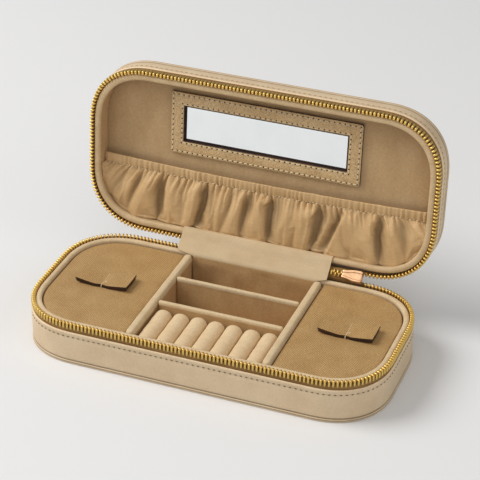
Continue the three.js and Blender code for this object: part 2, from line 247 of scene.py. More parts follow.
def sweep(places, profile, closed=True, tone=None):
    """A closed section of (inset, height) points carried round the case. profile and tone may be functions
    of a place's x and y."""
    shape = Shape()
    line = inset_line(places, 0)
    rows, tones = [], []
    for place, (x, y) in zip(places, line):
        section = np.asarray(profile(x, y) if callable(profile) else profile)
        flat = place[:2] + (CORNER_RADIUS - section[:, :1]) * place[2:]
        rows.append(np.c_[flat, section[:, 1]])
        tones.append(np.zeros(len(section)) if tone is None else tone(section[:, 0], section[:, 1]))
    u = travelled(np.r_[line, line[:1]])
    shape.grid(rows, around=True, along=closed, u=u, tones=tones, caps=not closed)
    return shape


def resampled(points, spacing, closed, offset=0.5):
    """Evenly spaced points on a line, about spacing apart, with the unit direction at each."""
    points = np.asarray(points, float)
    if closed:
        points = np.r_[points, points[:1]]
    lengths = travelled(points)
    count = max(2, round(lengths[-1] / spacing))
    at = (np.arange(count) + offset) * lengths[-1] / count
    at = at[at <= lengths[-1]]

    def where(s):
        return np.stack([np.interp(s, lengths, points[:, k]) for k in range(points.shape[1])], 1)

    direction = where(np.minimum(at + 0.3, lengths[-1])) - where(np.maximum(at - 0.3, 0))
    return where(at), direction / np.linalg.norm(direction, axis=1, keepdims=True)


def inward_offset(outline, distance):
    """An outline (counter-clockwise) moved inwards along its normals."""
    before, after = np.roll(outline, 1, axis=0), np.roll(outline, -1, axis=0)
    direction = unit(after - before)
    return outline + distance * np.c_[-direction[:, 1], direction[:, 0]]


def pillow(outline, bottom, top, cut, crown=0.0, rings=8, dip=None):
    """A flat panel with rounded edges and a crowned top, over a counter-clockwise outline."""
    shape = Shape()
    # The tones paint shade on the panel's side and a highlight along its rounded top edge.
    levels = [(cut * 0.8, bottom, 0.0), (0.0, bottom + cut * 0.5, -0.35)]
    for t in np.linspace(0, 90, 6):
        a = math.radians(t)
        levels.append((cut * (1 - math.cos(a)), top - cut * (1 - math.sin(a)), 0.15 * math.sin(2 * a)))
    rows, tones = [], []
    for inset, z, tone in levels:
        flat = inward_offset(outline, inset)
        rows.append(raised(flat, z))
        tones.append(np.full(len(flat), tone))
    edge = rows[-1][:, :2]
    centre = (edge.min(0) + edge.max(0)) / 2
    for share in np.linspace(1, 0, rings + 1)[1:-1]:
        flat = centre + (edge - centre) * share
        z = top + crown * (1 - share**2.5)
        rows.append(raised(flat, z))
        tones.append(np.zeros(len(flat)))
    rows = np.array(rows)
    if dip is not None:
        rows[2:, :, 2] += dip(rows[2:, :, 0], rows[2:, :, 1])
    first = shape.put(rows, tones)
    n, m = rows.shape[:2]
    place = [tuple(p[:2]) for p in rows.reshape(-1, 3)]
    for i in range(n - 1):
        for j in range(m):
            k = (j + 1) % m
            ids = (i * m + j, i * m + k, (i + 1) * m + k, (i + 1) * m + j)
            shape.face([first + q for q in ids], [place[q] for q in ids])
    shape.face([first + j for j in range(m)][::-1], [place[j] for j in range(m)][::-1])
    peak = rows[-1].mean(0)
    top_point = shape.put([peak])
    for j in range(m):
        a, b = (n - 1) * m + j, (n - 1) * m + (j + 1) % m
        shape.face((first + a, first + b, top_point), (place[a], place[b], tuple(peak[:2])))
    return shape


def sheet_of(rows, thickness, edge_look=0, shape=None, u=None, v=None, tones=None):
    """A sheet of cloth or leather: a grid of points given a thickness, half to each side."""
    shape = shape or Shape()
    rows = np.asarray(rows, float)
    n, m = rows.shape[:2]
    normal = unit(np.cross(np.gradient(rows, axis=0), np.gradient(rows, axis=1)))
    if u is None:
        u = travelled(rows[:, m // 2])
    if v is None:
        v = travelled(rows[n // 2])
    top = shape.grid(rows + normal * thickness / 2, u=u, v=v, tones=tones)
    low = shape.grid(rows - normal * thickness / 2, u=u, v=v, tones=tones)
    rim = [(i, 0) for i in range(n)] + [(n - 1, j) for j in range(1, m)]
    rim += [(i, m - 1) for i in range(n - 2, -1, -1)] + [(0, j) for j in range(m - 2, 0, -1)]
    for (i, j), (k, l) in zip(rim, rim[1:] + rim[:1]):
        ids = (top + i * m + j, top + k * m + l, low + k * m + l, low + i * m + j)
        places = ((u[i], v[j]), (u[k], v[l]), (u[k], v[l] + 0.3), (u[i], v[j] + 0.3))
        shape.face(ids, places, edge_look)
    return shape


def curve_through(points, count):
    """Points evenly spaced on a smooth curve through the given ones."""
    points = np.asarray(points, float)
    padded = np.r_[[2 * points[0] - points[1]], points, [2 * points[-1] - points[-2]]]
    made = []
    for a, b, c, d in zip(padded, padded[1:], padded[2:], padded[3:]):
        for t in np.linspace(0, 1, 12, endpoint=False):
            squared, cubed = (2 * a - 5 * b + 4 * c - d) * t**2, (3 * b - a - 3 * c + d) * t**3
            made.append(0.5 * (2 * b + (c - a) * t + squared + cubed))
    made = np.array(made + [points[-1]])
    lengths = travelled(made)
    at = np.linspace(0, lengths[-1], count)
    return np.stack([np.interp(at, lengths, made[:, k]) for k in range(made.shape[1])], 1)


def run_length(points):
    return float(np.linalg.norm(np.diff(points, axis=0), axis=1).sum())


def grid_area(rows):
    """The area of a grid of points, as two triangles for each square."""
    rows = np.asarray(rows, float)
    a, b, c, d = rows[:-1, :-1], rows[1:, :-1], rows[1:, 1:], rows[:-1, 1:]
    halves = np.cross(b - a, c - a), np.cross(c - a, d - a)
    return float(sum(np.linalg.norm(half, axis=2).sum() for half in halves) / 2)


def tube(path, radius, sides=8, shape=None):
    """A round thread or wire along a path of points, with closed ends. radius may be one for each point."""
    shape = shape or Shape()
    path = np.asarray(path, float)
    radius = np.broadcast_to(radius, len(path))
    direction = unit(np.gradient(path, axis=0))
    side = unit(np.cross(direction, (0.13, 0.21, 0.97)))
    other = np.cross(direction, side)
    angle = np.linspace(0, 2 * math.pi, sides, endpoint=False)
    ring = np.cos(angle)[None, :, None] * side[:, None] + np.sin(angle)[None, :, None] * other[:, None]
    rows = path[:, None] + ring * radius[:, None, None]
    shape.grid(rows, around=True, caps=True)
    return shape


def copies(template, frames, shape=None):
    """One shape repeated at each (origin, x, y, z) frame."""
    shape = shape or Shape()
    points = np.array(template.points)
    for origin, x, y, z in frames:
        first = shape.put(origin + points @ np.array([x, y, z]), template.tones)
        shape.faces.extend(tuple(first + k for k in face) for face in template.faces)
        shape.places.extend(template.places)
        shape.looks.extend(template.looks)
    return shape


def loft(levels, tones=None, power=2.6, sides=12):
    """A closed body of (height, half length, half width, shift) levels with rounded-square sections."""
    shape = Shape()
    angle = np.linspace(0, 2 * math.pi, sides, endpoint=False) + math.pi / sides
    c, s = np.cos(angle), np.sin(angle)
    x = np.sign(c) * np.abs(c) ** (2 / power)
    y = np.sign(s) * np.abs(s) ** (2 / power)
    rows = [np.c_[x * a + shift, y * b, np.full(sides, h)] for h, a, b, shift in levels]
    spread_tones = None if tones is None else [[t] * sides for t in tones]
    shape.grid(rows, around=True, caps=True, tones=spread_tones)
    return shape


def make_piece(name, shape, body, looks, stands_for=(), sharp=50.0, place=None, parented=True):
    """The finished Blender object of a shape. looks is one Look, or several by material number."""
    looks = looks if isinstance(looks, (list, tuple)) else [looks]
    matrix = np.array(place if place is not None else PLACE[body])
    points = np.array(shape.points) @ matrix[:3, :3].T + matrix[:3, 3]
    mesh = bpy.data.meshes.new(name)
    mesh.from_pydata(points.tolist(), [], shape.faces)
    for look in looks:
        mesh.materials.append(look.material)
    mesh.polygons.foreach_set("material_index", shape.looks)
    layer = mesh.uv_layers.new(name="UVMap")
    layer.data.foreach_set("uv", np.array(shape.places, float).ravel())
    # The tone carries painted shade and painted highlights into the material.
    tone = mesh.attributes.new("tone", "FLOAT", "POINT")
    tone.data.foreach_set("value", np.array(shape.tones, float))
    work = bmesh.new()
    work.from_mesh(mesh)
    bmesh.ops.recalc_face_normals(work, faces=work.faces)
    for face in work.faces:
        face.smooth = True
    limit = math.radians(sharp)
    for edge in work.edges:
        edge.smooth = edge.is_manifold and edge.calc_face_angle(0) < limit
    work.to_mesh(mesh)
    work.free()
    made = bpy.data.objects.new(name, mesh)
    bpy.context.scene.collection.objects.link(made)
    if parented:
        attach(made, body)
    if stands_for:
        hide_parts(*stands_for)
    return made


# ---------------------------------------------------------------- materials


def linear(code):
    """A six-digit sRGB code as a linear colour."""
    parts = [int(code[k : k + 2], 16) / 255 for k in (0, 2, 4)]
    parts = [c / 12.92 if c <= 0.04045 else ((c + 0.055) / 1.055) ** 2.4 for c in parts]
    return (*parts, 1.0)


def shades(codes):
    """The light, middle and dark colours of a material, from three codes."""
    return [linear(code) for code in codes.split()]


class Look:
    """A material made of nodes. Its texture places are the mesh's own, in millimetres."""

    def __init__(self, name, slot, **plain):
        self.slot = slot
        self.material = bpy.data.materials.new(name)
        self.material.use_nodes = True
        self.tree = self.material.node_tree
        self.shader = self.tree.nodes["Principled BSDF"]
        for key, value in plain.items():
            self.shader.inputs[key.replace("_", " ")].default_value = value

    def node(self, kind, settings=None, **inputs):
        made = self.tree.nodes.new("ShaderNode" + kind)
        for key, value in (settings or {}).items():
            setattr(made, key, value)
        for key, value in inputs.items():
            self.feed(made.inputs[key.replace("_", " ")], value)
        return made

    def feed(self, socket, value):
        if isinstance(value, bpy.types.NodeSocket):
            self.tree.links.new(value, socket)
        else:
            socket.default_value = value

    def places(self, scale=(1, 1, 1), turn=0.0, cad=False):
        """Texture places in millimetres: the mesh's own, or a CAD node's object places."""
        source = self.node("TexCoord").outputs["Object" if cad else "UV"]
        size = tuple(1000 * k for k in scale) if cad else scale
        mapping = self.node("Mapping", Vector=source, Scale=size, Rotation=(0, 0, math.radians(turn)))
        return mapping.outputs["Vector"]

    def noise(self, places, scale, detail=3.0, rough=0.55):
        made = self.node("TexNoise", Vector=places, Scale=scale, Detail=detail, Roughness=rough)
        return made.outputs["Fac"]

    def cells(self, places, scale, feature="F1"):
        made = self.node("TexVoronoi", {"feature": feature}, Vector=places, Scale=scale)
        return made.outputs["Distance"]

    def bands(self, places, pitch, distortion=0.0, direction="X"):
        """Even bands, one every pitch millimetres. The node itself repeats every 2 pi / 20 units."""
        made = self.node(
            "TexWave",
            {"wave_type": "BANDS", "bands_direction": direction, "wave_profile": "SIN"},
            Vector=places,
            Scale=2 * math.pi / 20 / pitch,
            Distortion=distortion,
        )
        return made.outputs["Fac"]

    def ramp(self, value, stops):
        made = self.node("ValToRGB", Fac=value)
        elements = made.color_ramp.elements
        while len(elements) < len(stops):
            elements.new(0.5)
        for element, (position, colour) in zip(elements, stops):
            element.position = position
            element.color = colour if isinstance(colour, tuple) else (colour, colour, colour, 1)
        return made.outputs["Color"]

    def maths(self, operation, a, b=0.0):
        made = self.node("Math", {"operation": operation})
        self.feed(made.inputs[0], a)
        self.feed(made.inputs[1], b)
        return made.outputs["Value"]

    def mixed(self, factor, a, b, blend="MIX"):
        made = self.node("Mix", {"data_type": "RGBA", "blend_type": blend})
        self.feed(made.inputs[0], factor)
        self.feed(made.inputs[6], a)
        self.feed(made.inputs[7], b)
        return made.outputs[2]

    def shaded(self, colour, *layers):
        """A colour multiplied by each layer in turn."""
        for layer in layers:
            colour = self.mixed(1.0, colour, layer, "MULTIPLY")
        return colour

    def colour(self, colour, tone_strength=0.45):
        """Sets the base colour from the tone: darker in seams and where shade is painted, paler where
        highlights are painted on raised edges.
        """
        tone = self.node("Attribute", {"attribute_name": "tone"}).outputs["Fac"]
        value = self.maths("MULTIPLY_ADD", tone, tone_strength)
        value.node.inputs[2].default_value = 1.0
        made = self.node("HueSaturation", Color=colour, Value=value)
        self.feed(self.shader.inputs["Base Color"], made.outputs["Color"])

    def bump(self, *layers):
        """Raises the surface by (height, distance in millimetres) layers."""
        normal = None
        for height, distance in layers:
            made = self.node("Bump", Height=height, Strength=1.0, Distance=distance * MM)
            if normal is not None:
                self.feed(made.inputs["Normal"], normal)
            normal = made.outputs["Normal"]
        self.feed(self.shader.inputs["Normal"], normal)

    def rough(self, value, low, high):
        self.feed(self.shader.inputs["Roughness"], self.ramp(value, [(0.3, low), (0.7, high)]))


def leather(name, slot, colours):
    """Fine pebbled leather: small cells with creases between them, over slow changes of colour."""
    light, middle, dark = shades(colours)
    look = Look(name, slot, Specular_IOR_Level=0.42)
    at = look.places()
    cloud = look.noise(at, 0.05, 4)
    grain = look.cells(at, 1.15, "DISTANCE_TO_EDGE")
    pores = look.noise(at, 3.4, 2)
    colour = look.ramp(cloud, [(0.3, dark), (0.5, middle), (0.72, light)])
    crease = look.ramp(grain, [(0.0, 0.91), (0.18, 1.0), (0.5, 1.03)])
    mottle = look.ramp(look.noise(at, 0.55, 3), [(0.35, 0.975), (0.65, 1.02)])
    look.colour(look.shaded(colour, crease, mottle))
    look.rough(pores, 0.40, 0.56)
    look.bump((look.ramp(grain, [(0.0, 0.0), (0.22, 1.0)]), 0.035), (pores, 0.03), (cloud, 0.15))
    return look


HATCH_PITCH = 1.3


def saffiano(name, slot, colours):
    """Cross-hatched leather: short slanting ridges pressed into it, broken by finer creases."""
    light, middle, dark = shades(colours)
    look = Look(name, slot, Specular_IOR_Level=0.5)
    at = look.places()
    rising = look.bands(look.places(turn=11), HATCH_PITCH, 1.3)
    falling = look.bands(look.places(turn=128), HATCH_PITCH, 1.3)
    patches = look.ramp(look.noise(at, 0.22, 3), [(0.42, 0.12), (0.58, 0.88)])
    strokes = look.ramp(look.noise(at, 0.75, 2), [(0.32, 0.35), (0.6, 1.0)])
    hatch = look.maths("MULTIPLY", look.mixed(patches, rising, falling), strokes)
    cloud = look.noise(at, 0.06, 4)
    grit = look.noise(at, 2.2, 3)
    colour = look.ramp(cloud, [(0.3, dark), (0.5, middle), (0.72, light)])
    # Painted shade in the hatch's valleys and a painted highlight on its ridges.
    valley = look.ramp(hatch, [(0.05, 0.76), (0.4, 0.99), (0.9, 1.28)])
    specks = look.ramp(grit, [(0.35, 0.90), (0.66, 1.07)])
    look.colour(look.shaded(colour, valley, specks))
    look.rough(hatch, 0.58, 0.40)
    look.bump((hatch, 0.24), (grit, 0.05))
    return look


def glittered(name, slot, colours):
    """Coarse pebbled leather with a pearly coat; its colour carries painted glints, as bright specks and
    lighter grain crowns, over painted shade between the grains.
    """
    light, middle, dark = shades(colours)
    look = Look(name, slot, Specular_IOR_Level=0.6, Coat_Weight=0.12, Coat_Roughness=0.3)
    at = look.places()
    grain = look.cells(at, 1.05)
    grit = look.noise(at, 1.9, 4)
    cloud = look.noise(at, 0.07, 4)
    colour = look.ramp(cloud, [(0.3, dark), (0.5, middle), (0.72, light)])
    # Painted highlight on each grain's crown and painted shade between grains; the specks are painted glints.
    crown = look.ramp(grain, [(0.0, 1.16), (0.45, 0.98), (0.8, 0.74)])
    specks = look.ramp(grit, [(0.34, 0.80), (0.5, 0.98), (0.68, 1.22)])
    look.colour(look.shaded(colour, crown, specks))
    look.rough(grit, 0.50, 0.28)
    look.bump((look.ramp(grain, [(0.0, 1.0), (0.7, 0.0)]), 0.20), (grit, 0.14))
    return look


def suede(name, slot, colours, nap=0.06):
    """Short-piled microsuede: a soft nap brushed in patches."""
    light, middle, dark = shades(colours)
    look = Look(name, slot, Roughness=0.93, Specular_IOR_Level=0.16, Sheen_Weight=0.15, Sheen_Roughness=0.45)
    look.shader.inputs["Sheen Tint"].default_value = light
    at = look.places()
    brushed = look.noise(look.places((1.0, 0.45, 1.0)), 0.09, 4)
    pile = look.noise(at, 2.2, 4, 0.7)
    colour = look.ramp(brushed, [(0.28, dark), (0.5, middle), (0.75, light)])
    mottle = look.noise(at, 0.6, 3, 0.6)
    fleck = look.ramp(pile, [(0.3, 0.86), (0.7, 1.08)])
    patches = look.ramp(mottle, [(0.35, 0.93), (0.65, 1.05)])
    look.colour(look.shaded(colour, fleck, patches))
    look.bump((pile, nap), (mottle, 0.10), (brushed, 0.2))
    return look


def woven(name, slot, colours, pitch=0.7, sheen=0.3, relief=0.05, rough=0.72, slub=0.06):
    """Plain-woven cloth: two sets of threads crossing, with slubs."""
    light, middle, dark = shades(colours)
    look = Look(name, slot, Roughness=rough, Specular_IOR_Level=0.3, Sheen_Weight=sheen, Sheen_Roughness=0.4)
    look.shader.inputs["Sheen Tint"].default_value = light
    at = look.places()
    warp = look.bands(at, pitch, 0.25, "X")
    weft = look.bands(at, pitch, 0.25, "Y")
    weave = look.maths("MULTIPLY", warp, weft)
    cloud = look.noise(at, 0.045, 4)
    slubs = look.noise(look.places((0.2, 2.0, 1.0)), 0.6, 3)
    colour = look.ramp(cloud, [(0.3, dark), (0.5, middle), (0.72, light)])
    gaps = look.ramp(weave, [(0.0, 0.86), (0.55, 1.04)])
    slubbed = look.ramp(slubs, [(0.3, 1 - slub), (0.7, 1 + slub * 0.8)])
    look.colour(look.shaded(colour, gaps, slubbed))
    look.bump((weave, relief), (slubs, slub * 0.8))
    return look


def metal(name, slot, light, dark, low, high):
    """Plated metal with fine rubbed scratches and patches of tarnish; its pieces' tones paint shade into its
    hollows and highlights on its tops.
    """
    look = Look(name, slot, Metallic=1.0)
    at = look.places()
    rubbed = look.noise(look.places((0.4, 3.0, 1.0)), 1.6, 3)
    tarnish = look.noise(at, 0.35, 3)
    look.colour(look.ramp(tarnish, [(0.25, dark), (0.6, light)]), 0.75)
    look.rough(rubbed, low, high)
    look.bump((rubbed, 0.012))
    return look


outer_leather = leather("champagne_leather", "outer_leather", "DFC8A5 DBC29F D4BA96")
cover_leather = saffiano("golden_saffiano", "saffiano_leather", "BF9B67 B8935F B08A56")
frame_leather = glittered("champagne_pearl", "saffiano_leather", "DABB8A D2B07E C7A472")
tan_suede = suede("tan_suede_nap", "tan_suede", "CCAD84 C6A67C BE9D73")
bay_suede = suede("bay_suede_nap", "tan_suede", "CFAC7C C8A373 BE9869", 0.10)
cream_suede = suede("cream_suede_nap", "cream_suede", "DCC6A2 D6BF9A CDB48D")
rim_suede = suede("rim_suede_nap", "cream_suede", "E1CBA7 DAC29D D0B690")
# A darker copy of the rim's cream suede for the lid's rim: painted shade on the lid's rim.
lid_rim_shaded_suede = suede("lid_rim_suede_nap", "cream_suede", "DAC09A D3B890 C9AD84")
roll_suede = suede("roll_suede_nap", "cream_suede", "E9D1AA E4C9A1 DBBF96")
gusset_cloth = woven("gusset_cloth", "cream_suede", "DBC49F D5BC96 CCB28B", 0.75, 0.15, 0.05, 0.85, 0.025)
pocket_cloth = woven("pocket_satin_weave", "pocket_satin", "D9B787 D0AD7D C8A474", 0.5, 0.18, 0.02, 0.5)
tape_cloth = woven("zip_tape_weave", "zip_tape", "A5814B 967140 876334", 0.8, 0.25, 0.09, 0.7)
brass = metal("tooth_brass", "zip_metal", linear("EACC7E"), linear("CFA74E"), 0.34, 0.46)
rose_gold = metal("rose_gold_plate", "slider_metal", linear("F2CA9F"), linear("E5B488"), 0.44, 0.56)
# The base's thread is darker than the lid's: painted shade of the stitch groove it lies in.
wall_thread = woven("wall_thread", "outer_leather", "8C744E 7D6744 6E5A3A", 0.3, 0.2, 0.02)
lid_thread = woven("lid_wall_thread", "outer_leather", "C2A67E B79A71 AB8E66", 0.3, 0.2, 0.02)
frame_thread = woven("frame_thread", "saffiano_leather", "F4E3C0 ECD8B2 E0CAA0", 0.3, 0.3, 0.02)
painted_edge = leather("painted_edge", "saffiano_leather", "432A1B 352014 28170E")
# Dark cups for the needle holes: painted shade where the holes lie in shadow.
stitch_hole_shade = leather("stitch_hole_shade", "saffiano_leather", "5A452C 4A3823 3A2B1A")


def fibre_board():
    """Pressed grey board, for the stiffeners inside the walls."""
    look = Look("pressed_board", "stiffener_board", Roughness=0.9)
    at = look.places(cad=True)
    fibres = look.noise(at, 0.8, 5, 0.7)
    look.colour(look.ramp(fibres, [(0.3, linear("8A8378")), (0.7, linear("A39C8F"))]))
    look.bump((fibres, 0.08))
    return look


def silvered_glass():
    """A mirror with the faintest haze."""
    look = Look("silvered_glass", "mirror", Metallic=1.0)
    haze = look.noise(look.places(), 0.05, 4)
    look.colour(look.ramp(haze, [(0.3, linear("EEF2F3")), (0.7, linear("F5F8F8"))]))
    look.rough(haze, 0.015, 0.035)
    return look


board = fibre_board()
mirror_silver = silvered_glass()

# ---------------------------------------------------------------- shells, base and lid

ROUND = stations()
OPEN_TAPE = stations(HINGE_LEFT, HINGE_RIGHT)
OPEN_TEETH = stations(HINGE_LEFT - 0.4, TEETH_RIGHT)


def stitches(line, heights_out, pitch, length, radius, closed=True, shape=None):
    """A row of short thread dashes along a line of points, each sunk into the surface at its ends."""
    shape = shape or Shape()
    centres, directions = resampled(line, pitch, closed)
    dash = Shape()
    t = np.linspace(-1, 1, 7)
    path = np.c_[t * length / 2, np.zeros(7), (1 - t**4) * radius * 0.7 - radius * 0.45]
    tube(path, radius * np.sqrt(np.maximum(1 - 0.8 * t**6, 0.05)), 6, dash)
    frames = []
    for centre, direction in zip(centres, directions):
        out = np.array(heights_out(centre), float)
        across = np.cross(out, direction)
        frames.append((centre, direction, across, out))
    return copies(dash, frames, shape)


FOLD = 3.5
WALL_STITCH = {"pitch": 3.5, "length": 1.5, "radius": 0.33}


def wall_section(low, high, rising):
    """The leather wall's section: a groove along the stitches and a puffed fold at the free edge."""
    edge, foot = (high, low) if rising else (low, high)
    way = 1 if rising else -1
    corners = [
        (0.75, foot, 0.3), (0.42, foot + way * 1.6, 1.0), (0.36, edge - way * (FOLD + 2.2), 1.0),
        (0.80, edge - way * FOLD, 0.7), (0.28, edge - way * (FOLD - 1.4), 0.9),
        (0.30, edge - way * 0.7, 0.6), (0.80, edge, 0.45), (1.46, edge - way * 0.1, 0.3),
        (1.46, edge - way * 5.0, 0.0), (1.42, foot, 0.0),
    ]
    return fillet(corners, 4)


def welt_section(low, high, rising):
    """A welt of two rolled beads with a fine groove between them."""
    way = 1 if rising else -1
    bottom = low if rising else high
    corners = [
        (2.35, bottom, 0.0), (0.55, bottom, 0.45), (0.0, bottom + way * 0.55, 0.45),
        (0.40, bottom + way * 1.12, 0.25), (0.78, bottom + way * 1.22, 0.12),
        (0.30, bottom + way * 1.34, 0.25), (0.08, bottom + way * 1.78, 0.4),
        (0.62, bottom + way * 2.22, 0.4), (2.35, bottom + way * 2.2, 0.0),
    ]
    return fillet(corners, 4)


def shell(body, wall_node, welt_node, rising):
    """The outer leather wall, its welt and its stitches."""
    low, high = span(wall_node)
    section = wall_section(low[2], high[2], rising)
    edge = high[2] if rising else low[2]
    seam = edge - FOLD if rising else edge + FOLD
    foot = low[2] if rising else high[2]

    # On the outer face: painted shade in the stitch groove and at the wall's foot by the welt, and a painted
    # highlight along the fold's free edge.
    def tone(inset, z):
        outside = inset < 1.3
        return outside * (-0.22 * bell(z, seam, 0.5) + 0.75 * bell(z, edge, 0.55) - 1.2 * bell(z, foot, 0.6))

    make_piece(f"{body}_leather_wall", sweep(ROUND, section, tone=tone), body, outer_leather, [wall_node])
    low, high = span(welt_node)
    middle = (low[2] + high[2]) / 2

    # Painted shade in the groove between the two beads and on the welt's inner faces.
    def welt_tone(inset, z):
        return -1.1 * bell(z, middle, 0.28) - 0.7 * (inset > 0.6)

    welt = sweep(ROUND, welt_section(low[2], high[2], rising), tone=welt_tone)
    make_piece(f"{body}_rolled_welt", welt, body, outer_leather, [welt_node])
    line = raised(inset_line(ROUND, 0.70), seam)

    def outward(point):
        nearest = np.argmin(np.linalg.norm(line[:, :2] - point[:2], axis=1))
        return np.r_[ROUND[nearest, 2:] / np.linalg.norm(ROUND[nearest, 2:]), 0]

    thread_row = stitches(line, outward, **WALL_STITCH)
    make_piece(f"{body}_wall_stitches", thread_row, body, [wall_thread if rising else lid_thread])


shell("base", "base_outer_wall", "base_bottom_welt", True)
shell("lid", "lid_outer_wall", "lid_top_welt", False)


def flat_panel(name, node, body, look, inset, crown, cut=0.7, under=False, shade=None):
    low, high = span(node)
    shape = pillow(inset_line(ROUND, inset), low[2], high[2], cut, crown, 12)
    if under:
        points = np.array(shape.points)
        points[:, 2] = low[2] + high[2] - points[:, 2]
        shape.points = points.tolist()
    if shade is not None:
        points = np.array(shape.points)
        shape.tones = (np.array(shape.tones) + shade(points[:, 0], points[:, 1])).tolist()
    return make_piece(name, shape, body, look, [node])


flat_panel("lid_top_leather", "lid_top_panel", "lid", outer_leather, 2.5, 0.5)
flat_panel("base_underside_leather", "base_bottom_panel", "base", outer_leather, 2.5, 0.0, 0.5, True)
flat_panel("base_floor_suede", "base_floor_lining", "base", tan_suede, 4.4, 0.0)


def lining_shade(x, y):
    """Painted shadow: the lining is darker close to the walls, most of all along the far edge, where the
    rim's shadow falls.
    """
    side, far = LENGTH / 2 - 4.4, DEPTH / 2 - 4.4
    far_shade, left_shade = -0.75 * np.exp(-(y + far) / 9.0), 0.45 * np.exp(-(x + side) / 8.0)
    return far_shade - left_shade - 0.25 * np.exp(-(side - x) / 6.0)


flat_panel("lid_lining_suede", "lid_lining_panel", "lid", tan_suede, 4.4, 0.0, 0.5, True, lining_shade)

# ---------------------------------------------------------------- zip tapes, teeth, slider


CORD_RISE = 1.25


def tape_section(low, high, rising):
    """The tape, with the corded edge that the teeth clamp."""
    tip, hem = (high, low) if rising else (low, high)
    way = 1 if rising else -1
    corners = [
        (1.55, hem, 0.1), (1.50, tip - way * 1.9, 0.3), (1.05, tip - way * 1.2, 0.4),
        (1.05, tip + way * CORD_RISE, 0.5), (2.55, tip + way * CORD_RISE, 0.5),
        (2.55, tip - way * 1.2, 0.4), (2.08, tip - way * 1.9, 0.3), (2.05, hem, 0.1),
    ]
    return fillet(corners, 3)


def tooth_template():
    """One tooth, standing on its tape's cord: clamped legs, a shoulder and a narrower head."""
    levels = [
        (-1.15, 0.50, 1.15, 0.0), (-1.0, 0.78, 1.45, 0.0), (0.3, 0.84, 1.55, 0.0), (1.35, 0.84, 1.52, 0.0),
        (1.8, 0.90, 1.45, 0.0), (2.35, 0.84, 1.38, 0.0), (2.85, 0.62, 1.15, 0.0), (3.1, 0.32, 0.75, 0.0),
    ]
    # Painted shade on the legs, where they go into the tape, and a painted highlight towards the head.
    tones = [-0.5, -0.35, -0.05, 0.0, 0.1, 0.15, 0.2, 0.2]
    return loft(levels, tones=tones)


def teeth_row(places, base_height, way, offset):
    line = inset_line(places, 1.8)
    centres, directions = resampled(line, PITCH, False, offset)
    up = np.array((0, 0, way), float)
    frames = []
    for centre, direction in zip(centres, directions):
        along = np.r_[direction, 0]
        frames.append((np.r_[centre, base_height], along, np.cross(up, along), up))
    return copies(tooth_template(), frames)


def metal_block(name, node, body, end, shoulder):
    """A small block with its two ends drawn in. end gives the ends' share of the block's length and width."""
    low, high = span(node)
    x, y, z = (high - low) / 2
    drawn_in = (x * end[0], y * end[1], 0.0)
    levels = [(-z, *drawn_in), (-z * shoulder, x, y, 0.0), (z * shoulder, x, y, 0.0), (z, *drawn_in)]
    frames = [((low + high) / 2, (1, 0, 0), (0, 1, 0), (0, 0, 1))]
    make_piece(name, copies(loft(levels), frames), body, brass, [node])


def zip_side(body, tape_node, teeth_node, stop_node, rising):
    low, high = span(tape_node)
    way = 1 if rising else -1
    tip = high[2] if rising else low[2]

    # Painted shade on the tape under the teeth and where it goes behind the leather.
    def tone(inset, z):
        return -1.55 * bell(z - tip, way * 0.6, 1.2) - 0.45 * bell(z, tip - way * 3.6, 0.7)

    section = tape_section(low[2], high[2], rising)
    tape = sweep(OPEN_TAPE, section, False, tone=tone)
    make_piece(f"{body}_woven_tape", tape, body, tape_cloth, [tape_node])
    row = teeth_row(OPEN_TEETH, tip + way * 0.1, way, 0.25 if rising else 0.75)
    make_piece(f"{body}_brass_teeth", row, body, brass, [teeth_node])
    metal_block(f"{body}_end_stop", stop_node, body, (0.7, 0.8), 0.7)


zip_side("base", "base_zip_tape", "base_zip_teeth", "zip_top_stop_base", True)
zip_side("lid", "lid_zip_tape", "lid_zip_teeth", "zip_top_stop_lid", False)


JOINED_SIZE = (0.66, 0.9, 0.70)


def engaged_chain():
    """The last joined teeth, from the two rows in turn, and the stop that closes the end."""
    low, high = span("zip_chain_engaged")
    middle = (low + high) / 2
    shape = Shape()
    for k, x in enumerate(np.arange(low[0] + 0.6, high[0] + 0.4, PITCH / 2)):
        way = 1 if k % 2 else -1
        root = middle[2] - way * 1.62
        along, across, up = JOINED_SIZE
        frames = [((x, middle[1], root), (along, 0, 0), (0, way * across, 0), (0, 0, way * up))]
        copies(tooth_template(), frames, shape)
    make_piece("zip_joined_teeth", shape, "zip_chain", brass, ["zip_chain_engaged"])
    metal_block("zip_end_box", "zip_bottom_stop", "zip_chain", (0.6, 0.7), 0.8)


engaged_chain()


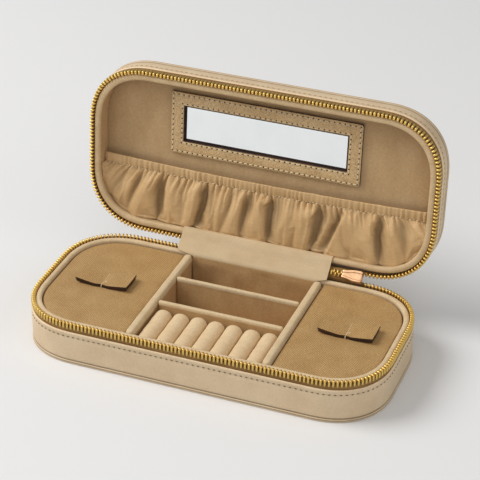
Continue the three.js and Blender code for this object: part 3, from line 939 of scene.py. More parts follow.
def slider_body():
    """The slider: two tapered plates with raised rails and turned edges, joined by a post at the mouth."""
    low, high = span("zip_slider_body")
    middle = (low[2] + high[2]) / 2
    start, end = low[0] + 0.9, high[0]
    shape = Shape()
    for inner in (True, False):
        face = low[1] if inner else high[1]
        way = 1 if inner else -1
        rows = []
        for t in np.r_[0, 0.02, np.linspace(0.06, 0.94, 15), 0.98, 1]:
            flare = 0.70 + 0.30 * smooth((t - 0.1) / 0.55)
            ends = min(t, 1 - t)
            closing = 1 - 0.10 * (1 - min(1.0, ends / 0.06)) ** 2
            half = (high[2] - low[2]) / 2 * flare * closing
            worn = 0.12 * (1 - min(1.0, ends / 0.03))
            section = fillet([
                (face + way * (0.45 + worn), -half + 1.5, 0.2),
                (face + way * (0.45 + worn), half - 1.8, 0.2), (face + way * worn, half - 1.55, 0.2),
                (face + way * worn, half - 0.2, 0.25), (face + way * (0.3 + worn), half, 0.25),
                (face + way * 1.75, half, 0.2), (face + way * 1.75, half - 0.7, 0.2),
                (face + way * 0.95, half - 0.8, 0.2), (face + way * 0.95, -half + 0.8, 0.2),
                (face + way * 1.75, -half + 0.7, 0.2), (face + way * 1.75, -half, 0.2),
                (face + way * (0.3 + worn), -half, 0.25), (face + way * worn, -half + 0.2, 0.25),
                (face + way * worn, -half + 1.25, 0.2),
            ], 3)
            at = np.full(len(section), start + (end - start) * t)
            rows.append(np.c_[at, section[:, 0], section[:, 1] + middle])
        shape.grid(rows, around=True, caps=True)
    post = loft([(low[1] + 0.6, 1.7, 2.0, 0.0), (high[1] - 0.6, 1.7, 2.0, 0.0)], power=2.2)
    copies(post, [((end - 1.8, 0, middle), (1, 0, 0), (0, 0, 1), (0, 1, 0))], shape)
    make_piece("slider_plates", shape, "zip_slider", rose_gold, ["zip_slider_body"], 32)


def slider_bail():
    low, high = span("zip_slider_bail")
    middle = (low[2] + high[2]) / 2
    path = []
    for t in np.linspace(0, math.pi, 15):
        lean = math.sin(t) ** 0.6
        x = (low[0] + high[0]) / 2 - math.cos(t) * (high[0] - low[0] - 1.4) / 2
        path.append((x, low[1] + 0.6 + (high[1] - low[1] - 1.2) * lean, middle))
    make_piece("slider_bail_wire", tube(path, 0.62, 10), "zip_slider", rose_gold, ["zip_slider_bail"], 60)


EYE_RADIUS = 1.62


def zip_pull():
    """The pull: an eye round the bail, a neck, and a long flat tag with rounded edges."""
    node = frame["nodes"]["zip_pull"]
    corners = np.array([vertex.co for vertex in node.data.vertices]) / MM
    pivot = np.array(next(j for j in frame["joints"] if j["name"] == "pull_swing")["pos_m"]) / MM
    low, high = corners.min(0), corners.max(0)
    top, width = pivot[2], (high[0] - low[0]) / 2
    shape = Shape()
    turns = np.linspace(0, 2 * math.pi, 25)[:-1]
    ring = np.array([pivot + (0, EYE_RADIUS * math.sin(a), EYE_RADIUS * math.cos(a)) for a in turns])
    angle = np.linspace(0, 2 * math.pi, 8, endpoint=False)
    radial = (ring - pivot) / EYE_RADIUS
    rows = [
        p + 0.48 * math.cos(a) * r + 0.95 * math.sin(a) * np.array((1, 0, 0))
        for p, r in zip(ring, radial)
        for a in angle
    ]
    shape.grid(np.array(rows).reshape(24, 8, 3), around=True, along=True)
    tag = fillet([
        (-0.9, top - 1.9, 0.2), (-0.9, top - 3.0, 0.8), (-width * 0.62, top - 5.4, 2.0),
        (-width, low[2] + 2.6, 3.0), (-width * 0.8, low[2], 2.0), (width * 0.8, low[2], 2.0),
        (width, low[2] + 2.6, 3.0), (width * 0.62, top - 5.4, 2.0), (0.9, top - 3.0, 0.8),
        (0.9, top - 1.9, 0.2),
    ], 5)
    thick = min(high[1] - low[1], 1.4)
    plate = pillow(tag, -thick / 2, thick / 2, 0.35, 0.12, 5)
    frames = [((pivot[0], pivot[1], 0), (1, 0, 0), (0, 0, 1), (0, -1, 0))]
    copies(plate, frames, shape)
    make_piece("zip_pull_tag", shape, "zip_pull", rose_gold, ["zip_pull"], 35, place=BASE)


slider_body()
slider_bail()
zip_pull()

# ---------------------------------------------------------------- padded rims and inner walls

slider_low = span("zip_slider_body")[0]
travel = next(j for j in frame["joints"] if j["name"] == "zip_travel")["range_m"][1] / MM


def rim_section(low, high, rising, width, depth):
    """A padded roll. By the slider it keeps its width and sits a little further in."""
    edge = high if rising else low
    way = 1 if rising else -1
    foot = edge - way * depth

    def section(x, y):
        near = smooth((x - (slider_low[0] - travel - 14)) / 8) * smooth((LENGTH / 2 - 8 - x) / 32)
        shift = (0.85 if rising else 1.1) * near if y > 0 else 0.0
        outer, inner = 3.35 + shift, 3.35 + width + shift * 0.6
        middle = (outer + inner) / 2
        return fillet([
            (outer + 0.7, foot - way * 1.2, 0.5), (outer - 0.05, foot + way * 0.9, 1.3),
            (outer + 0.1, edge - way * 0.5, 1.1), (middle, edge + way * 0.15, 1.2),
            (inner - 0.1, edge - way * 0.5, 1.1), (inner + 0.05, foot + way * 0.9, 1.3),
            (inner - 0.7, foot - way * 1.2, 0.5),
        ], 4)

    return section


def rim_tone(edge):
    # Painted shade down the roll's sides, below its crown.
    def tone(inset, z):
        return -0.35 * np.clip((np.abs(z - edge) - 1.2) / 2.2, 0, 1)

    return tone


def padded_rim(body, rising, width, depth, look):
    node = f"{body}_rim_padding"
    low, high = span(node)
    edge = high[2] if rising else low[2]
    shape = sweep(ROUND, rim_section(low[2], high[2], rising, width, depth), tone=rim_tone(edge))
    return make_piece(f"{body}_rim_roll", shape, body, look, [node])


def inner_wall(body, upper, lower):
    """The suede wall inside a shell. upper and lower are the insets of its inner face's two edges."""
    node = f"{body}_inner_wall"
    low, high = span(node)
    wall = fillet([(4.5, low[2], 0), (4.5, high[2], 0.3), (upper, high[2], 0.4), (lower, low[2], 0)], 3)
    make_piece(f"{body}_inner_suede", sweep(ROUND, wall), body, tan_suede, [node])


base_rim = padded_rim("base", True, 3.7, 3.4, rim_suede)
lid_rim = padded_rim("lid", False, 4.2, 3.6, lid_rim_shaded_suede)
inner_wall("base", 6.85, 6.9)
inner_wall("lid", 6.9, 6.85)

# ---------------------------------------------------------------- bay covers and their bow pulls


def cover(side, node, tab_node, body):
    low, high = span(node)
    tab_low, tab_high = span(tab_node)
    inner = high[0] + 0.6 if side < 0 else low[0] - 0.6
    line = inset_line(ROUND, 7.55)
    kept = line[line[:, 0] < inner - 0.5] if side < 0 else line[line[:, 0] > inner + 0.5]
    if side > 0:
        start = np.argmin(np.abs(kept[:, 1] - kept[:, 1].min()) + np.abs(kept[:, 0] - inner))
        kept = np.roll(kept, -start, axis=0)
    first, last = kept[0], kept[-1]
    straight = spread(last[1], first[1], STRAIGHT_STEP)
    outline = np.r_[kept, np.c_[np.full(len(straight), inner), straight]]
    centre = ((tab_low + tab_high) / 2)[:2]

    def dip(x, y):
        pressed = -0.35 * np.exp(-(((x - centre[0]) / 9) ** 2) - ((y - centre[1]) / 7) ** 2)
        rolled = -0.45 * bell(x, inner, 2.2)
        return pressed + rolled

    shape = pillow(outline, low[2], high[2], 1.25, 0.35, 22, dip)
    return make_piece(f"{body}_saffiano", shape, body, cover_leather, [node]), high[2]


def bow(name, node, body, surface, seed):
    """A bow-shaped pull: two layers of leather pinched to the cover by a thread, their ends lifting."""
    low, high = span(node)
    centre, half = (low + high) / 2, (high - low) / 2
    chance = np.random.default_rng(seed)
    shape = Shape()
    lift = chance.uniform(0.85, 1.1, (2, 2))
    for layer in (0, 1):
        rows = []
        for s in np.linspace(-1, 1, 41):
            pinch = math.exp(-((s / 0.16) ** 2))
            width = half[1] * (1 - 0.10 * pinch) * (1 - 0.05 * (1 - layer))
            row = []
            for t in np.linspace(-1, 1, 17):
                corner = lift[int(s > 0), int(t > 0)]
                wing = abs(s) ** 1.4 * (1.4 + 0.35 * abs(t) ** 2 * corner)
                ripple = 0.22 * math.cos(math.pi * t) * (1 - pinch) * (1 - abs(s))
                ripple -= 0.45 * pinch * (1 - t * t)
                off_crease = abs(t) - 0.85 * (1 - abs(s) * 1.6)
                crease = 0.35 * math.exp(-(off_crease**2) / 0.03) * (abs(s) < 0.55)
                z = surface + 0.72 + layer * (1.30 + 0.30 * abs(s)) + wing + ripple + 0.35 * crease
                x = centre[0] + s * half[0] * (1 - 0.02 * (1 - layer))
                row.append((x, centre[1] + t * width, z))
            rows.append(row)
        rows = np.array(rows)
        sheet_of(rows, 1.30, 1, shape, u=rows[:, 8, 0], v=rows[20, :, 1])
    make_piece(name, shape, body, [cover_leather, painted_edge], [node], 40)
    front, top = centre[1] - half[1] * 0.9, surface + 2.6
    over = [
        (centre[0], front + 0.3, surface + 0.1), (centre[0], front - 0.45, surface + 0.5),
        (centre[0] + 0.1, front - 0.4, surface + 1.7), (centre[0] + 0.2, front + 0.5, top),
        (centre[0] + 0.5, front + 2.6, top - 0.2), (centre[0] + 1.3, front + 4.4, top - 0.25),
        (centre[0] + 2.4, front + 5.2, top - 0.2), (centre[0] + 2.9, front + 4.3, top - 0.15),
        (centre[0] + 2.0, front + 3.5, top - 0.15), (centre[0] + 0.9, front + 3.9, top - 0.1),
    ]
    loops = Shape()
    tube(curve_through(over, 40), 0.26, 8, loops)
    rear = centre[1] + half[1] * 0.9
    behind = [
        over[3], (centre[0], centre[1], top - 0.45), (centre[0], rear - 0.4, top - 0.1),
        (centre[0], rear + 0.3, surface + 0.2),
    ]
    tube(curve_through(behind, 24), 0.16, 8, loops)
    make_piece(f"{name}_thread", loops, body, frame_thread, sharp=60)


left_cover, left_top = cover(-1, "cover_board_left", "cover_tab_left", "cover_left")
right_cover, right_top = cover(1, "cover_board_right", "cover_tab_right", "cover_right")
bow("left_bow_pull", "cover_tab_left", "cover_left", left_top, 11)
bow("right_bow_pull", "cover_tab_right", "cover_right", right_top, 23)

# ---------------------------------------------------------------- dividers and ring rolls


def ridge(name, node, along, look):
    """A padded divider: a board sleeve with a tubular top and rounded ends."""
    low, high = span(node)
    across = 1 - along
    width = (high[across] - low[across]) / 2
    centre = (high[across] + low[across]) / 2
    top = high[2]
    section = fillet([
        (-width * 0.84, low[2], 0.0), (-width * 0.84, top - 2.5 * width, 0.8),
        (-width * 1.02, top - 1.2 * width, 1.2), (-width * 0.80, top + 0.05, 1.6),
        (width * 0.80, top + 0.05, 1.6), (width * 1.02, top - 1.2 * width, 1.2),
        (width * 0.84, top - 2.5 * width, 0.8), (width * 0.84, low[2], 0.0),
    ], 5)
    places = []
    for a in np.linspace(80, 0, 6):
        places.append((low[along] + width * (1 - math.sin(math.radians(a))), math.radians(a)))
    for at in spread(low[along] + width, high[along] - width, 3.5)[1:-1]:
        places.append((at, 0.0))
    for a in np.linspace(0, 80, 6):
        places.append((high[along] - width * (1 - math.sin(math.radians(a))), math.radians(a)))
    rows = []
    for at, a in places:
        shrink, drop = math.cos(a), (1 - math.cos(a)) * width * 0.7
        x = section[:, 0] * shrink
        z = section[:, 1] - drop * smooth((section[:, 1] - (top - 3 * width)) / (2 * width))
        wobble = 0.06 * math.sin(at * 0.31 + centre)
        line = np.full(len(section), at)
        beside = x + centre + wobble
        rows.append(np.c_[line, beside, z] if along == 0 else np.c_[beside, line, z])
    shape = Shape()
    # Painted highlight along the top, painted shade down the sides, deepest near the bay's left end.
    sunk = smooth((top - 1.2 * width - section[:, 1]) / 8)
    tones = []
    for at, _ in places:
        corner = math.exp(-(at - low[along]) / 11.0) if along == 0 else 0.0
        tones.append(0.1 * (section[:, 1] > top - 1.4) - (0.22 + 0.5 * corner) * sunk)
    shape.grid(rows, around=True, caps=True, tones=tones, u=np.array([p[0] for p in places] + [0]))
    points = np.array(shape.points)
    for k, face in enumerate(shape.faces):
        shape.looks[k] = int(points[list(face), 2].mean() < top - max(1.3 * width, 2.4))
    return make_piece(name, shape, "base", [look, bay_suede], [node])


dividers = [
    ridge("left_divider_suede", "divider_left", 1, cream_suede),
    ridge("right_divider_suede", "divider_right", 1, cream_suede),
    ridge("rear_cross_suede", "cross_divider_rear", 0, cream_suede),
    ridge("front_cross_suede", "cross_divider_front", 0, cream_suede),
]


def ring_roll(index):
    """One padded roll: full and round, with a domed rear end, and its front end tucked to the wall."""
    low, high = span(f"ring_roll_{index}")
    chance = np.random.default_rng(100 + index)
    radius = (high[0] - low[0]) / 2 + chance.uniform(-0.05, 0.12)
    top = high[2] + chance.uniform(-0.15, 0.2)
    centre = (low[0] + high[0]) / 2 + chance.uniform(-0.06, 0.06)
    front, rear = low[1], high[1] + chance.uniform(-0.3, 0.3)
    floor = low[2] - 0.2
    angle = np.linspace(0, 2 * math.pi, 36, endpoint=False)
    c, s = np.cos(angle), np.sin(angle)
    x = radius * np.sign(c) * np.abs(c) ** 0.92
    height = (top - floor) / 2
    z = height * np.sign(s) * np.abs(s) ** 0.92
    rows = []
    places = [(front + 2.4 * (1 - math.sin(a)), a, 0.45) for a in np.radians(np.linspace(78, 0, 6))]
    places += [(y, 0.0, 1.0) for y in spread(front + 2.4, rear - 5.2, 2.4)[1:-1]]
    places += [(rear - 5.2 * (1 - math.sin(a)), a, 1.0) for a in np.radians(np.linspace(0, 82, 11))]
    for y, a, depth in places:
        shrink = 1 - (1 - math.cos(a)) * depth
        slack = 1 + 0.012 * math.sin(y * 0.5 + index) + 0.008 * math.sin(y * 1.3 + 2 * index)
        middle = floor + height * (0.85 + 0.15 * shrink)
        rows.append(np.c_[x * shrink * slack + centre, np.full(36, y), z * shrink * slack + middle])
    shape = Shape()
    # Painted shade down the roll's sides, below its top.
    tones = [np.clip(-0.45 * smooth((top - 3.2 - row[:, 2]) / 6), -1, 0) for row in rows]
    shape.grid(rows, around=True, caps=True, tones=tones, u=np.array([p[0] for p in places] + [0]))
    return make_piece(f"ring_roll_{index}_suede", shape, "base", roll_suede, [f"ring_roll_{index}"], 70)


rolls = [ring_roll(index) for index in range(1, 8)]

# ---------------------------------------------------------------- lid: mirror and pocket


def rounded_rectangle(x0, x1, y0, y1, radius):
    """A counter-clockwise rectangle with round corners."""
    made = []
    for cx, cy, start in (
        (x1 - radius, y1 - radius, 0), (x0 + radius, y1 - radius, 90), (x0 + radius, y0 + radius, 180),
        (x1 - radius, y0 + radius, 270),
    ):
        for a in np.radians(np.linspace(start, start + 90, 6)):
            made.append((cx + radius * math.cos(a), cy + radius * math.sin(a)))
    return np.array(made)


MIRROR_BORDER = 9.4
# The lip is a dark flange inside the opening: painted shade around the recessed glass.
MIRROR_LIP = 1.0


def mirror():
    low, high = span("mirror_frame")
    back = span("lid_lining_panel")[0][2]
    x0, x1, y0, y1 = low[0], high[0], low[1], high[1]
    shape = Shape()

    def ring(inset, radius):
        return rounded_rectangle(x0 + inset, x1 - inset, y0 + inset, y1 - inset, radius)

    front = low[2]
    # The tones paint shade at the frame's foot, in its stitch grooves and inside its opening, and highlights
    # along its rounded edges.
    levels = [
        (0.15, back, -0.6), (0.0, front + 0.7, -0.1), (0.15, front + 0.3, 0.15), (0.6, front + 0.03, 0.2),
        (1.2, front - 0.02, 0.0), (1.6, front + 0.14, -0.25), (2.0, front, 0.0),
        (MIRROR_BORDER / 2, front - 0.12, 0.05), (MIRROR_BORDER - 2.0, front, 0.0),
        (MIRROR_BORDER - 1.6, front + 0.14, -0.25), (MIRROR_BORDER - 1.2, front - 0.02, 0.0),
        (MIRROR_BORDER - 0.55, front + 0.05, 0.2), (MIRROR_BORDER - 0.1, front + 0.3, 0.0),
        (MIRROR_BORDER - 0.05, front + 0.5, -0.3), (MIRROR_BORDER, front + 1.4, -0.3),
        (MIRROR_BORDER, back - 0.75, -0.3), (MIRROR_BORDER + MIRROR_LIP, back - 0.70, -0.3),
        (MIRROR_BORDER + MIRROR_LIP, back - 0.2, -0.6),
    ]
    # The frame's outer sides, the walls of its opening and the lip take the dark edge paint: partly a real
    # painted edge, partly painted shade for the frame's shadow and the recess's dark reflection.
    dark_from = 11
    rows = np.array([raised(ring(i, 1.6 - i * 0.12), z) for i, z, _ in levels])
    tones = [np.full(24, t) for _, _, t in levels]
    first = shape.put(rows, tones)
    flat = rows[:, :, :2].reshape(-1, 2)
    for i in range(len(rows)):
        k = (i + 1) % len(rows)
        for j in range(24):
            l = (j + 1) % 24
            ids = (i * 24 + j, i * 24 + l, k * 24 + l, k * 24 + j)
            inside = int(i < 2 or dark_from <= i < len(rows) - 1)
            shape.face([first + q for q in ids], [tuple(flat[q]) for q in ids], inside)
    looks = [frame_leather, painted_edge]
    make_piece("mirror_frame_leather", shape, "lid", looks, ["mirror_frame"], 55)

    toward = np.array((0, 0, -1.0))
    dashes, holes = Shape(), Shape()
    # Each needle hole is a small dark cup: painted shade.
    hole = loft([(-0.10, 0.36, 0.42, 0), (0.08, 0.48, 0.56, 0), (0.14, 0.36, 0.42, 0)], sides=8, power=2)
    for inset in (1.6, MIRROR_BORDER - 1.6):
        left, right, near, far = x0 + inset, x1 - inset, y0 + inset, y1 - inset
        box = [(left, near), (right, near), (right, far), (left, far)]
        for a, b in zip(box, box[1:] + box[:1]):
            a, b = np.array(a), np.array(b)
            line = np.array([np.r_[a, front + 0.05], np.r_[b, front + 0.05]])
            stitches(line, lambda point: toward, 3.6, 2.5, 0.44, False, dashes)
            centres, directions = resampled(line, 3.6, False, 0.0)
            for centre, direction in zip(centres, directions):
                holes = copies(hole, [(centre, direction, np.cross(toward, direction), toward)], holes)
    make_piece("mirror_frame_stitches", dashes, "lid", frame_thread, sharp=60)
    make_piece("mirror_frame_holes", holes, "lid", stitch_hole_shade, sharp=60)

    pane = ring(MIRROR_BORDER - 1.0, 0.6)
    glass = Shape()
    glass.grid([raised(pane, z) for z in (back - 0.45, back + 0.3)], around=True, caps=True)
    make_piece("mirror_pane", glass, "lid", mirror_silver, ["mirror_glass"], 30)


mirror()

POCKET_INSET = 7.2
BAND_WIDTH = 7.0
POCKET_FOOT = 5.2
CREASING = 1.35
SLANT = 5.0


def mouth_line(x):
    """The pocket's upper edge, bowed a little between its ends."""
    return 11.3 - 2.2 * ((x + 8) / 107) ** 2


def ripple(x, seed, count, low, high):
    """Irregular gathers: a sum of waves of different lengths, about 1 high."""
    chance = np.random.default_rng(seed)
    total = np.zeros_like(x)
    for _ in range(count):
        wave = chance.uniform(low, high)
        total += np.sin(2 * math.pi * x / wave + chance.uniform(0, 6.3)) * chance.uniform(0.5, 1.0)
    return total / math.sqrt(count)


def pocket_band():
    """The gathered casing over the elastic: a flat tube, puckered by its fine gathers."""
    low, high = span("pocket_elastic_band")
    x = np.arange(low[0] + 0.2, high[0] - 0.1, 0.55)
    top = mouth_line(x)
    gathers = ripple(x, 5, 6, 2.0, 4.2)
    swing = ripple(x, 6, 4, 9.0, 24.0)
    section = fillet([
        (0.0, 0.75, 0.6), (0.35, 0.0, 0.6), (3.2, -0.35, 1.5), (BAND_WIDTH - 1.0, 0.05, 0.6),
        (BAND_WIDTH - 0.2, 0.55, 0.4), (BAND_WIDTH, 1.15, 0.3), (BAND_WIDTH - 0.2, 1.6, 0.2),
        (0.4, 1.5, 0.6),
    ], 3)
    rows, tones = [], []
    for k in range(len(x)):
        share = np.clip(section[:, 0] / BAND_WIDTH, 0, 1)
        push = 0.60 * gathers[k] * (0.35 + 0.65 * share) + 0.25 * swing[k]
        front = section[:, 1] < 0.9
        z = low[2] + section[:, 1] + push * front
        rows.append(np.c_[np.full(len(section), x[k]), top[k] + section[:, 0] + 0.08 * gathers[k], z])
        # Painted shade along the stitched seam and in the hollows of the gathers, and a painted highlight on
        # their crests and along the band's upper edge.
        seam = -0.75 * bell(section[:, 0] - BAND_WIDTH, -0.4, 0.5)
        tones.append(seam + 0.3 * np.clip(-gathers[k], -1, 0.5) * front + 0.25 * (section[:, 0] < 0.4))
    shape = Shape()
    shape.grid(rows, around=True, caps=True, tones=tones, u=np.r_[x, 0])
    made = make_piece("pocket_gathered_band", shape, "lid", pocket_cloth, ["pocket_elastic_band"], 70)
    line = np.c_[x, top + BAND_WIDTH - 0.75, np.full(len(x), low[2] + 0.1)]
    line[:, 2] += 0.26 * gathers + 0.20 * swing
    row = stitches(line, lambda point: np.array((0, 0, -1.0)), 2.4, 1.6, 0.22, False)
    sewn = make_piece("pocket_band_stitches", row, "lid", frame_thread, sharp=60)
    return made, sewn, low[2]


band, band_stitches, band_face = pocket_band()

# The folds, from left to right: where each ridge or valley starts under the band and where it ends at
# the bottom, along the lid, and how far it stands out, all in millimetres. A ridge close to a valley
# makes a sharp fold, one far from it a slack puff.
FOLDS = [
    (-113, -113, -1.2), (-104, -106, 1.6), (-96, -100, -1.4), (-90, -95, 1.8), (-85, -89, -1.6),
    (-75, -84, 2.6), (-68, -70, -2.6), (-62, -61, 2.4), (-55, -52, 0.4), (-44, -48, 2.6), (-38, -43, -3.0),
    (-25, -32, 2.4), (-20, -24, -0.4), (-14, -17, 1.6), (-9, -10, -1.8), (5, 3, 3.0), (8, 7, -2.6),
    (20, 19, 1.6), (26, 25, 0.4), (35, 33, 3.0), (39, 38, -2.6), (47, 43, -0.4), (54, 48, -2.2),
    (58, 51, 3.0), (68, 65, 1.2), (77, 78, 3.0), (81, 83, -2.4), (88, 95, 2.0), (94, 100, -1.4),
    (104, 106, 1.4), (113, 113, -1.2),
]


def pocket_fabric():
    """The pocket's gathered front: fine gathers under the band that merge into deep folds."""
    high = span("pocket_fabric")[1]
    columns, steps = 451, 56
    s = np.linspace(-1, 1, columns)
    x = s * (high[0] - 0.4)
    start_y = mouth_line(x) + BAND_WIDTH - 0.3
    line = inset_line(ROUND, POCKET_INSET)
    back = line[line[:, 1] > start_y[0] - 1.0]
    back = back[np.argsort(-np.arctan2(back[:, 1] - 10.0, back[:, 0]))]
    lengths = travelled(back)
    at = (np.sign(s) * np.abs(s) ** 1.04 + 1) / 2 * lengths[-1]
    end_x = np.interp(at, lengths, back[:, 0])
    end_y = np.interp(at, lengths, back[:, 1])
    fine = ripple(x, 21, 7, 2.6, 4.6)
    fine = np.sign(fine) * np.abs(fine) ** 0.8
    coarse = ripple(x, 22, 6, 6.0, 13.0)
    stray = ripple(x, 24, 6, 9.0, 21.0)
    t = np.linspace(0, 1, steps)[None]
    place_x = x[:, None] + (end_x - x)[:, None] * t
    place_y = start_y[:, None] + (end_y - start_y)[:, None] * t
    drop = np.clip((end_y - start_y) / 30.0, 0.05, 1.0)[:, None]
    fold = np.zeros((columns, steps))
    heights = [rise for _, _, rise in FOLDS]
    for j in range(steps):
        knots = [top + (bottom - top) * t[0, j] for top, bottom, _ in FOLDS]
        sway = 1.0 * np.sin(t[0, j] * 4.0 + x * 0.09) + SLANT * t[0, j] * (0.6 - 0.4 * x / 107)
        which = np.clip(np.searchsorted(knots, place_x[:, j] + sway) - 1, 0, len(knots) - 2)
        start, end = np.array(knots)[which], np.array(knots)[which + 1]
        share = np.clip((place_x[:, j] + sway - start) / (end - start), 0, 1)
        first, last = np.array(heights)[which], np.array(heights)[which + 1]
        share = np.where(first < last, 1 - (1 - share) ** CREASING, share**CREASING)
        fold[:, j] = first * (1 - share) + last * share
    fold *= 1.65 * smooth((t + 0.05) / 0.36) * (1 - 0.4 * smooth((t - 0.7) / 0.3))
    belly = 2.2 * np.sin(math.pi * np.clip(t, 0, 1) ** 0.75) ** 0.8
    gather = 1.25 * fine[:, None] * np.exp(-((t / 0.30) ** 1.4))
    gather += 0.8 * coarse[:, None] * np.sin(math.pi * t**0.6) * np.exp(-t * 1.2)
    gather += 0.8 * stray[:, None] * smooth(t / 0.4) * (1 - 0.6 * t)
    bottom = band_face + 1.2 - POCKET_FOOT
    depth = (belly + fold) * drop + gather * drop**0.5 + bottom * t**1.5 - 0.9 * smooth((t - 0.93) / 0.07)
    grid = np.stack([place_x, place_y, held_within(band_face + 1.2 - depth, 3.6, 15.6)], 2)
    slide = np.gradient(fold, axis=0) * 0.9 * drop * np.sin(math.pi * t)
    grid[:, :, 0] += np.clip(slide, -0.8, 0.8)
    return grid


def held_within(depth, low, high):
    """Depths pressed softly between two limits, so that nothing is cut flat."""
    middle, reach = (low + high) / 2, (high - low) / 2
    return middle + reach * np.tanh((depth - middle) / reach)


CLOTH_SCALE = 0.01
CLOTH_FRAMES = 20
FARTHEST_MOVE = 2.2
CLOTH = {
    "quality": 5, "mass": 0.2, "tension_stiffness": 12, "compression_stiffness": 12, "shear_stiffness": 4,
    "bending_stiffness": 0.3, "shrink_min": -0.10, "use_pressure": True, "uniform_pressure_force": 0.0,
}


def settled(grid):
    """Lets the folds settle: a cloth held along its sewn edges and let out by a tenth, which the edges make
    buckle. It runs for a few frames, and no point moves farther than FARTHEST_MOVE. Its negative shrinking
    is what lets it out."""
    columns, steps = grid.shape[:2]
    mesh = bpy.data.meshes.new("settling_cloth")
    ids = np.arange(columns * steps).reshape(columns, steps)
    faces = np.stack([ids[:-1, :-1], ids[1:, :-1], ids[1:, 1:], ids[:-1, 1:]], -1).reshape(-1, 4)
    start = grid.reshape(-1, 3) * CLOTH_SCALE
    mesh.from_pydata(start.tolist(), [], faces.tolist())
    work = bpy.data.objects.new("settling_cloth", mesh)
    bpy.context.scene.collection.objects.link(work)
    held = work.vertex_groups.new(name="held")
    edge = set(ids[0]) | set(ids[-1]) | set(ids[:, 0]) | set(ids[:, -1])
    held.add([int(k) for k in edge], 1.0, "REPLACE")
    cloth = work.modifiers.new("settle", "CLOTH")
    cloth.settings.vertex_group_mass = "held"
    for setting, value in CLOTH.items():
        setattr(cloth.settings, setting, value)
    cloth.settings.effector_weights.gravity = 0
    cloth.collision_settings.use_collision = False
    cloth.point_cache.frame_start = 1
    cloth.point_cache.frame_end = CLOTH_FRAMES
    for number in range(1, CLOTH_FRAMES + 1):
        bpy.context.scene.frame_set(number)
    seen = work.evaluated_get(bpy.context.evaluated_depsgraph_get())
    end = np.array([vertex.co for vertex in seen.data.vertices])
    bpy.data.objects.remove(work)
    bpy.context.scene.frame_set(1)
    move = (end - start) / CLOTH_SCALE
    size = np.linalg.norm(move, axis=1, keepdims=True)
    move *= np.minimum(1.0, FARTHEST_MOVE / np.maximum(size, 1e-9))
    return (grid.reshape(-1, 3) + move).reshape(grid.shape)


pocket_grid = pocket_fabric()
pocket_grid = settled(pocket_grid)
pocket_grid[:, :, 2] = held_within(pocket_grid[:, :, 2], 3.4, 15.8)
pocket_grid[1:-1] += 0.25 * (pocket_grid[:-2] + pocket_grid[2:] - 2 * pocket_grid[1:-1])
pocket_grid[:, 1:-1] += 0.2 * (pocket_grid[:, :-2] + pocket_grid[:, 2:] - 2 * pocket_grid[:, 1:-1])
# Painted shade in the folds' valleys and a painted highlight on their ridges, from each point's depth against
# a smoothed depth.
smoothed = pocket_grid[:, :, 2].copy()
for _ in range(400):
    smoothed[1:-1] += 0.5 * (smoothed[:-2] + smoothed[2:] - 2 * smoothed[1:-1])
depth_tone = np.clip((smoothed - pocket_grid[:, :, 2]) * 0.34, -1.0, 0.24)
pocket = sheet_of(pocket_grid, 0.5, tones=depth_tone)
pocket = make_piece("pocket_gathered_cloth", pocket, "lid", pocket_cloth, ["pocket_fabric"], 80)

# ---------------------------------------------------------------- hinge: gusset, spine, tape bridge


def lid_point(y, z):
    """(y, z) of a lid point as the case stands open, in millimetres."""
    point = LID @ Vector((0, y, z)) / MM
    return point[1], point[2]


# Below the bend the cloth lines the bay, between the two side dividers.
GUSSET_BEND = 28.0
BAY_LEFT = -39.3
BAY_RIGHT = 45.3


def gusset():
    """The cloth inside the hinge: out of the lid under the pocket, over both rims, down the rear wall."""
    path = curve_through([
        lid_point(50.4, 5.6), lid_point(49.2, 4.4), lid_point(48.7, 2.6), lid_point(50.0, 0.5),
        (55.6, 34.6), (50.9, 30.4), (49.2, 28.8), (48.75, 26.0), (48.75, 14.0), (48.75, 5.2),
    ], 64)
    chance = np.random.default_rng(3)
    phase = chance.uniform(0, 6.3, 6)
    rows = []
    for share in np.linspace(0, 1, 90):
        row = []
        for k, (y, z) in enumerate(path):
            down = smooth((30.2 - z) / 2.2) * (y < 51.6)
            left = HINGE_LEFT + (BAY_LEFT - HINGE_LEFT) * down
            right = HINGE_RIGHT - (HINGE_RIGHT - BAY_RIGHT) * down
            x = left + (right - left) * share
            on_flap = smooth((z - 29.5) / 2) * smooth((41 - z) / 3)
            in_bay = smooth((27 - z) / 4)
            crease = 0.08 * math.sin(z * 1.15 + 0.6 * math.sin(x * 0.06 + phase[0]) + phase[1])
            crease += 0.12 * math.sin(x * 0.34 + z * 0.8 + phase[2]) * math.sin(x * 0.05 + phase[5])
            slack = 0.35 * math.sin(x * 0.11 + z * 0.25 + phase[3])
            slack += 0.25 * math.sin(x * 0.23 - z * 0.2 + phase[4])
            out = on_flap * crease + in_bay * slack
            row.append((x, y - 0.65 * out, z + 0.65 * out * on_flap))
        rows.append(row)
    rows = np.array(rows)
    z = rows[:, :, 2]
    # Painted shade: darker below the rim and down the bay wall, most of all near the bay's left corner.
    corner = np.exp(-(rows[:, :, 0] + 39.0) / 12.0)
    tones = -0.10 * smooth((31.0 - z) / 3.0) - (0.12 + 0.4 * corner) * smooth((27 - z) / 8)
    shape = sheet_of(rows, 0.7, tones=tones)
    points = np.array(shape.points)
    for k, face in enumerate(shape.faces):
        shape.looks[k] = int(points[list(face), 2].mean() < GUSSET_BEND)
    looks, nodes = [gusset_cloth, bay_suede], ["hinge_gusset_base", "hinge_gusset_lid"]
    made = make_piece("hinge_gusset_cloth", shape, "base", looks, nodes, 70, BASE, False)
    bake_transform(made)
    return made, (rows[-1, 10, 0] - rows[0, 10, 0], run_length(path))


